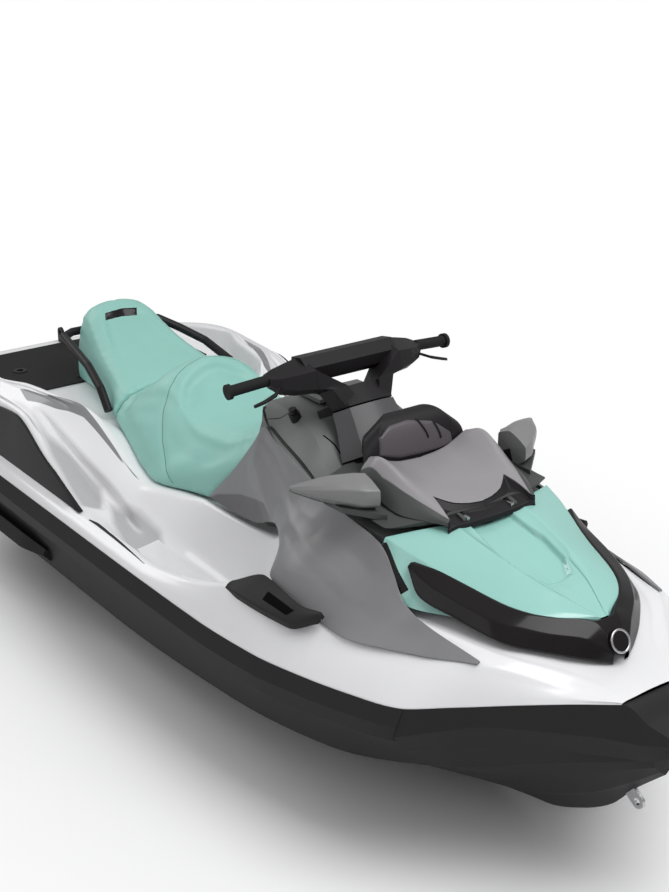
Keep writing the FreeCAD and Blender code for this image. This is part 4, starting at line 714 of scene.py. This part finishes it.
# The seams are drawn as strips of darker teal: the thread's own colour, darkened further as painted
# shade in the seam's groove.
SEAM_THREAD_AND_SHADE = finish("seam_thread_and_shade", (74, 118, 112), 0.6)
strip("front_seam", [FRONT_SEAM], 3.2, SEAM_THREAD_AND_SHADE, "craft", seat_front, lift=0.5,
      count=110)
SPLIT_SEAM = [(964, -262, 645), (964, -246, 680), (963, -172, 712), (963, -90, 724), (963, 0, 730)]
strip("split_seam", [SPLIT_SEAM], 4.0, SEAM_THREAD_AND_SHADE, "craft", seat_front, lift=0.5)
PLATE = [([(564, -74, 862), (560, 0, 868), (568, 60, 862)],
          [(590, -82, 844), (588, -10, 848), (594, 50, 844)])]
laid("seat_plate", PLATE, GLOSS_BLACK, "craft", seat_rear, lift=1.2,
     across=9, count=30, sides=(1,))

# Side vents: charcoal mouldings screwed to the deck's edge below the side panels. Each has one
# long slot, whose dark opening is painted shade: a black film laid on the moulding.
VENT_LOW = [(2095, 540, 536), (2160, 546, 546), (2380, 528, 548), (2466, 492, 586)]
VENT_TOP = [(2095, 516, 550), (2190, 468, 590), (2380, 486, 588), (2466, 478, 600)]
stations = np.linspace(2096, 2465, 80)
vent_rails = [along(VENT_LOW, stations), along(VENT_TOP, stations)]
vent_rails = [vent_rails[0] + (0, 0.004, -0.02)] + vent_rails + [vent_rails[1] + (0, 0.012, -0.02)]
vent_net = strung(np.stack(vent_rails), (5, 5), (None, 2.0, None), flat=8)
caps = [vent_net[end:end + 1 or None] * 0.2 + vent_net[end].mean(axis=0) * 0.8
        + (0, 0.006, -0.012) for end in (0, -1)]
vent_net = np.concatenate([caps[0], vent_net, caps[1]])
vents = piece("vent_skins", [vent_net, vent_net[:, ::-1] * (1, -1, 1)], CHARCOAL, "craft",
              ["side_vents"])
# Hole black is the dark of joints and gaps, and painted shade in the slots' openings.
HOLE_BLACK = finish("hole_black", (10, 10, 11), 0.9, shine=0.05)
VENT_SLOT_SHADE = [([(2246, -490, 569), (2386, -498, 573)], [(2256, -526, 555), (2366, -523, 556)])]
laid("vent_slot_shade", VENT_SLOT_SHADE, HOLE_BLACK, "craft", vents, lift=0.6, count=24)

# Console: grey moulding between the seat and the cowl, with a rubber gasket along each side
# panel, a joint behind the glovebox and a drain slot on each side, whose dark opening is
# painted shade: a black strip laid on the console.
CONSOLE_GREY = finish("console_grey", (106, 109, 107), 0.45, shine=0.35)
dress(CONSOLE_GREY, "console", "glovebox_lid")
console = frame["nodes"]["console"]
GASKET = [(1773, -183, 900), (1781, -189, 876), (1808, -197, 853), (1908, -214, 832),
          (2021, -234, 816), (2140, -256, 800), (2290, -274, 780)]
JOINT = [(1805, -199, 864), (1848, -181, 878), (1868, -158, 892), (1872, -136, 898)]
DRAIN_SHADE = [(2008, -141, 866), (2041, -125, 846), (2078, -121, 826)]
strip("console_gaskets", [GASKET], 13.0, TRIM_BLACK, "craft", console, lift=4.5)
strip("console_joints", [JOINT], 3.0, HOLE_BLACK, "craft", console, lift=0.4)
strip("console_drain_shade", [DRAIN_SHADE], 7.0, HOLE_BLACK, "craft", console, lift=0.5)

# Front cowl: light grey shell over the gauges, gloss plastic. A notch in its front edge shows
# the black recess of the lid between two prongs.
COWL_AFT, COWL_FORE = 2272.0, 2584.0
COWL_CENTRE = [(2272, 0, 852), (2380, 0, 842), (2500, 0, 824), (2584, 0, 806)]
COWL_VALLEY = [(2272, 90, 858), (2380, 96, 848), (2500, 84, 828), (2584, 70, 807)]
COWL_PEAK = [(2272, 176, 900), (2325, 183, 918), (2450, 166, 866), (2584, 138, 812)]
COWL_SIDE = [(2272, 212, 846), (2325, 232, 838), (2450, 226, 806), (2584, 156, 800)]
NOTCH = [(0, 2540), (40, 2535), (80, 2522), (108, 2502), (126, 2484), (136, 2530), (144, 2578),
         (170, 2590)]
COWL_GREY = finish("cowl_grey", (146, 143, 146), 0.34, shine=0.4)
stations = np.linspace(COWL_AFT + 0.5, COWL_FORE - 0.5, 90)
cowl_rails = [along(line, stations) for line in (COWL_SIDE, COWL_PEAK, COWL_VALLEY, COWL_CENTRE)]
cowl_rails.insert(0, cowl_rails[0] + (0, 0.012, -0.006))
cowl_net = both_sides(strung(np.stack(cowl_rails), (4, 16, 40), (None, 4.0, None, None), flat=9))


def parted(net, edge):
    """Net split along its rows at an edge of (breadth, station): the part abaft of it and the
    part ahead, each resampled so that its last or first row lies on the edge."""
    station = net[..., 0] / MM + STERN_TO_ORIGIN
    limit = np.interp(np.abs(net[..., 1]) / MM, *np.array(edge, float).T)
    rows = np.arange(len(net))
    cut = np.array([np.interp(0, (station - limit)[:, k], rows) for k in range(net.shape[1])])
    halves = []
    for start, end, count in ((0 * cut, cut, 70), (cut, 0 * cut + rows[-1], 24)):
        at = start + (end - start) * np.linspace(0, 1, count)[:, None]
        low = np.minimum(at.astype(int), rows[-1] - 1)
        share = (at - low)[..., None]
        column = np.arange(net.shape[1])[None, :]
        halves.append(net[low, column] * (1 - share) + net[low + 1, column] * share)
    return halves


shell_net, lip_net = parted(cowl_net, NOTCH)
edge = shell_net[-1:].repeat(3, axis=0) + np.array([[0.0002, 0, -0.0006], [-0.0004, 0, -0.002],
                                                    [-0.008, 0, -0.005]])[:, None]
back = shell_net[:1].repeat(2, axis=0) - np.array([[0.0, 0, 0.010], [0.0, 0, 0.001]])[:, None]
shell_grid = np.concatenate([back, shell_net, edge])
shell = piece("cowl_shell", [shell_grid], COWL_GREY, "storage_lid", ["front_cowl"])
COWL_FLANGE = [(2240, -270), (2240, -204), (2368, -204), (2477, -176), (2560, -148), (2600, -134),
               (2600, -270)]
painted(COWL_GREY, [shell], "flange",
        [inward(to_starboard(shell_grid), COWL_FLANGE)],
        srgb(70, 72, 71), 2.0)
RECESS_STEP, RECESS_DEPTH = 0.004, 0.014
lip_net[..., 2] -= np.minimum(np.linspace(0, 3, len(lip_net)), 1)[:, None] * RECESS_DEPTH
lip_net[..., 2] -= RECESS_STEP
nose = lip_net[-1:].repeat(2, axis=0) + np.array([[0.002, 0, -0.003], [0.0, 0, -0.016]])[:, None]
piece("cowl_recess", [np.concatenate([lip_net, nose])], TRIM_BLACK, "storage_lid", ())

# Mirrors: grey housings swept back over the lid's edge, with a black belly. Each carries a flat
# glass on its aft face.
MIRROR_AFT, MIRROR_SWEEP, MIRROR_ROOT = 2310.0, 0.326, 262.0
MIRROR_GREY = finish("mirror_grey", (126, 127, 126), 0.32, shine=0.4)
MIRROR_DEPTH = [(262, 0, 118), (290, 0, 118), (330, 0, 100), (380, 0, 72), (432, 0, 18)]
MIRROR_BASE = [(262, 0, 800), (290, 0, 803), (330, 0, 815), (380, 0, 833), (432, 0, 856)]
MIRROR_HEAD = [(262, 0, 900), (290, 0, 904), (330, 0, 902), (380, 0, 890), (432, 0, 870)]
MIRROR_OUTLINE = [(0.02, 0.0), (0.02, 0.62), (0.42, 1.0), (1.0, 0.42), (1.0, -0.45),
                  (0.6, -1.0), (0.02, -0.6), (0.02, 0.0)]
breadths = np.linspace(258, 431, 60)
depth, base, head = (along(line, breadths)[:, 2] / MM + DRAFT
                     for line in (MIRROR_DEPTH, MIRROR_BASE, MIRROR_HEAD))
face = MIRROR_AFT - MIRROR_SWEEP * (breadths - MIRROR_ROOT)
mirror_rails = np.stack([np.stack([face + depth * a - STERN_TO_ORIGIN, -breadths,
                                   (base + head) / 2 + (head - base) / 2 * u - DRAFT], axis=1) * MM
                         for a, u in MIRROR_OUTLINE])
mirror_net = strung(mirror_rails, (8, 9, 7, 7, 12, 8), (None, None, 2, 1, 1, None, None),
                    arc=7, flat=6)
ends = [mirror_net[:1] * (1 - s) + mirror_net[:1].mean(axis=1, keepdims=True) * s
        + (0, s * rise, 0)
        for s, rise in ((0.999, 0.003), (0.5, 0.003), (0.12, 0.0012), (0.03, 0.0004))]
tips = [mirror_net[-1:] * (1 - s) + mirror_net[-1:].mean(axis=1, keepdims=True) * s
        - (0, s * rise, 0) for s, rise in ((0.3, 0.003), (0.999, 0.004))]
mirror_net = np.concatenate(ends + [mirror_net] + tips)
belly = mirror_net[:, -24:-9]
belly = belly + np.array([0.0012, 0, -0.0016])
for name, side in (("starboard", 1), ("port", -1)):
    net = mirror_net[:, ::-1] if side > 0 else mirror_net * (1, -1, 1)
    piece("mirror_shell_" + name, [net], MIRROR_GREY, "storage_lid",
          ["mirror_housing_" + name])
    net = belly[:, ::-1] if side > 0 else belly * (1, -1, 1)
    piece("mirror_belly_" + name, [net], TRIM_BLACK, "storage_lid", ())

# Gauge cover: satin grey dome in the black hood over the display, moulded plastic, with two
# black ribs laid on it.
GAUGE_GREY = finish("gauge_grey", (84, 79, 83), 0.38, shine=0.4)
gauge = frame["nodes"]["gauge_pod"]
DOME = [([(2244, -126, 928), (2238, -84, 958), (2236, -19, 962), (2248, 66, 942), (2260, 118, 898)],
         [(2262, -138, 884), (2270, -70, 860), (2274, 0, 856), (2278, 70, 856), (2278, 126, 868)])]
laid("gauge_dome", DOME, GAUGE_GREY, "storage_lid", gauge, lift=5.0, across=14,
     sides=(1,))
RIBS = [[(2244, 8, 958), (2262, 30, 920), (2270, 36, 900)],
        [(2250, 62, 940), (2264, 76, 908), (2272, 80, 890)]]
strip("gauge_ribs", RIBS, 9.0, TRIM_BLACK, "storage_lid", gauge, lift=8.0,
      count=30, sides=(1,))

# Nose badge: plain gloss black disc pressed into the grille's tip, with a bright metal rim
# around it. The rim is a ring bent from a circle along the lean of the tip.
BADGE_STATION, BADGE_HEIGHT, BADGE_LEAN = 3058.0, 622.0, math.radians(30)
RIM_RADIUS, RIM_OUT, RIM_HALF_WIDTH, RIM_HALF_DEPTH = 28.5, 9.0, 3.0, 2.2
around, ring = np.linspace(0, 2 * math.pi, 65)[:, None], np.linspace(0, 2 * math.pi, 13)[None, :]
reach = RIM_RADIUS + RIM_HALF_WIDTH * np.cos(ring)
out = RIM_OUT + RIM_HALF_DEPTH * np.sin(ring) + 0 * around
up, side = reach * np.cos(around), reach * np.sin(around)
rim = np.stack([BADGE_STATION + out * math.cos(BADGE_LEAN) - up * math.sin(BADGE_LEAN)
                - STERN_TO_ORIGIN, side, BADGE_HEIGHT + out * math.sin(BADGE_LEAN)
                + up * math.cos(BADGE_LEAN) - DRAFT], axis=2) * MM
STEEL = finish("steel", (200, 200, 202), 0.25, metallic=1.0)
piece("badge_rim", [rim[:, ::-1]], STEEL, "craft", ())

# Bumper joints: a fine dark gap down each side of the bow, where two rubber mouldings of the
# bumper meet.
JOINT_LINE = [(2824, -515, 498), (2800, -514, 440), (2770, -510, 392)]
strip("bumper_joints", [JOINT_LINE], 3.0, HOLE_BLACK, "craft", frame["nodes"]["bow_bumper"],
      lift=0.5)

# Lid's trim and glasses: dark grey plastic under the cowl, mirrored glass and a black display.
# They are screwed to the lid and keep their solids' shape.
TRIM_GREY = finish("trim_grey", (70, 72, 71), 0.45, shine=0.3)
MIRROR = finish("mirror", (220, 222, 225), 0.03, metallic=1.0)
dress(TRIM_GREY, "cowl_trim")
dress(GLOSS_BLACK, "gauge_display", "nose_badge")
dress(MIRROR, "mirror_glasses")

# Fittings: black plastic inserts, eyes and grab handle bolted to the deck, rubber mat and grips,
# and bright steel eyes, hinge pins, bar and column.
RUBBER = finish("rubber", (33, 33, 34), 0.75, shine=0.2)
dress(TRIM_BLACK, "quarter_inserts", "tow_eye", "grab_handle", "deck_fittings", "storage_bin",
      "intake_grate")
dress(RUBBER, "grips", "rear_mat")
dress(STEEL, "bow_eye", "stern_eyes", "lid_hinge", "steering_column", "handlebar", "impeller")

# Jet and engine: cast alloy pump housing, nozzle and reverse gate under the stern, and the
# engine block in the hull.
ALLOY = finish("alloy", (170, 172, 175), 0.4, metallic=1.0)
dress(ALLOY, "pump_housing", "nozzle", "reverse_gate", "engine")

# Bar, neck, gauge hood, mirror arms, post and levers: black and grey plastic mouldings with
# rounded edges. Their solids have the right shape, so each gets a copy with softer edges.
NECK_GREY = finish("neck_grey", (80, 80, 82), 0.4, shine=0.35)


def softened(node, material, width, segments=3, angle=22.0):
    """Copy of a faceted CAD node, with its loose triangles joined, flat faces merged and
    every sharp edge rounded over the width."""
    source = frame["nodes"][node]
    mesh = source.data.copy()
    mesh.materials.clear()
    mesh.materials.append(material)
    work = bmesh.new()
    work.from_mesh(mesh)
    bmesh.ops.remove_doubles(work, verts=work.verts, dist=1e-5)
    bmesh.ops.dissolve_limit(work, angle_limit=math.radians(1.5), verts=work.verts,
                             edges=work.edges)
    for face in work.faces:
        face.smooth = True
    work.to_mesh(mesh)
    work.free()
    if mesh.has_custom_normals:
        mesh.attributes.remove(mesh.attributes["custom_normal"])
    thing = added(node + "_soft", mesh)
    bevel = thing.modifiers.new("edge", "BEVEL")
    bevel.width = width * MM
    bevel.segments = segments
    bevel.limit_method = "ANGLE"
    bevel.angle_limit = math.radians(angle)
    even = thing.modifiers.new("even", "WEIGHTED_NORMAL")
    even.keep_sharp = False
    body = next(name for name, nodes in frame["record"]["behaviour"]["bodies"].items()
                if node in nodes)
    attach(thing, body)
    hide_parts(node)
    return thing


# Each node with its finish, the width of its rounded edges in mm and its slot.
for node, material, width, slot in (
        ("bar_pad", TRIM_BLACK, 7, "trim_black"), ("switch_pods", TRIM_BLACK, 5, "trim_black"),
        ("bar_cover", TRIM_BLACK, 6, "trim_black"), ("steering_neck", NECK_GREY, 6, "console_grey"),
        ("gauge_pod", TRIM_BLACK, 6, "trim_black"), ("mirror_arms", TRIM_GREY, 3, "trim_black"),
        ("lanyard_post", TRIM_BLACK, 2, "trim_black"),
        ("throttle_lever", TRIM_BLACK, 2, "trim_black"),
        ("brake_lever", TRIM_BLACK, 2, "trim_black")):
    softened(node, material, width)

# Studio: a pale floor under the keel that fades to white, a wide soft light over the bow and
# weaker ones at the side and abaft.
FLOOR_HEIGHT = -0.226
CAMERA_PLACE = (3.63597, -2.50624, 2.25704)
CAMERA_AZIMUTH, CAMERA_ELEVATION = 36.198, 22.098
LENS, SENSOR = 61.16, 36.0
camera_data = bpy.data.cameras.new("camera")
camera_data.lens = LENS
camera_data.sensor_width = SENSOR
camera = added("camera", camera_data)
turn, rise = math.radians(CAMERA_AZIMUTH), math.radians(CAMERA_ELEVATION)
camera.location = CAMERA_PLACE
camera.rotation_euler = (math.pi / 2 - rise, 0, math.pi / 2 - turn)
bpy.context.scene.camera = camera

floor_mesh = bpy.data.meshes.new("floor")
floor_mesh.from_pydata([(-30, -30, FLOOR_HEIGHT), (30, -30, FLOOR_HEIGHT), (30, 30, FLOOR_HEIGHT),
                        (-30, 30, FLOOR_HEIGHT)], [], [(0, 1, 2, 3)])
floor = added("floor", floor_mesh)
paint = bpy.data.materials.new("floor_paint")
paint.use_nodes = True
parts = paint.node_tree.nodes
link = paint.node_tree.links.new
parts["Principled BSDF"].inputs["Base Color"].default_value = (0.94, 0.94, 0.95, 1)
parts["Principled BSDF"].inputs["Roughness"].default_value = 0.9
place = parts.new("ShaderNodeTexCoord")
stretch = parts.new("ShaderNodeMapping")
stretch.inputs["Scale"].default_value = (0.3, 0.55, 1.0)
reach = parts.new("ShaderNodeVectorMath")
reach.operation = "LENGTH"
fade = parts.new("ShaderNodeMapRange")
fade.interpolation_type = "SMOOTHSTEP"
fade.inputs["From Min"].default_value = 0.4
fade.inputs["From Max"].default_value = 1.1
seen = parts.new("ShaderNodeLightPath")
both = parts.new("ShaderNodeMath")
both.operation = "MULTIPLY"
glow = parts.new("ShaderNodeEmission")
blend = parts.new("ShaderNodeMixShader")
link(place.outputs["Object"], stretch.inputs["Vector"])
link(stretch.outputs["Vector"], reach.inputs[0])
link(reach.outputs["Value"], fade.inputs["Value"])
link(fade.outputs["Result"], both.inputs[0])
link(seen.outputs["Is Camera Ray"], both.inputs[1])
link(both.outputs["Value"], blend.inputs["Fac"])
link(parts["Principled BSDF"].outputs["BSDF"], blend.inputs[1])
link(glow.outputs["Emission"], blend.inputs[2])
link(blend.outputs["Shader"], parts["Material Output"].inputs["Surface"])
floor_mesh.materials.append(paint)


def lamp(name, place, target, size, power):
    """Square soft box at a place, facing the target."""
    data = bpy.data.lights.new(name, "AREA")
    data.size = size
    data.energy = power
    thing = added(name, data)
    thing.location = place
    aim = Vector(target) - Vector(place)
    thing.rotation_euler = aim.to_track_quat("-Z", "Y").to_euler()


# Each lamp: name, place, target, size in metres and power in watts.
lamp("key", (2.6, 0.8, 4.6), (0.2, 0, 0.3), 3.2, 150)
lamp("side", (0.5, -5.0, 2.6), (0.2, 0, 0.2), 2.4, 12)
lamp("stern", (-4.5, -1.5, 3.4), (-0.6, 0, 0.4), 2.4, 50)
world = bpy.data.worlds.new("studio")
world.use_nodes = True
bpy.context.scene.world = world
sky = world.node_tree.nodes
link = world.node_tree.links.new
place = sky.new("ShaderNodeTexCoord")
split = sky.new("ShaderNodeSeparateXYZ")
dome = sky.new("ShaderNodeMapRange")
dome.inputs["From Min"].default_value = -0.1
dome.inputs["From Max"].default_value = 1.0
dome.inputs["To Min"].default_value = 0.26
dome.inputs["To Max"].default_value = 0.62
seen = sky.new("ShaderNodeLightPath")
white = sky.new("ShaderNodeMix")
white.inputs["B"].default_value = 1.0
link(place.outputs["Generated"], split.inputs["Vector"])
link(split.outputs["Z"], dome.inputs["Value"])
link(dome.outputs["Result"], white.inputs["A"])
link(seen.outputs["Is Camera Ray"], white.inputs["Factor"])
link(white.outputs["Result"], sky["Background"].inputs["Strength"])
sky["Background"].inputs["Color"].default_value = (1, 1, 1, 1)
bpy.context.scene.view_settings.view_transform = "Standard"
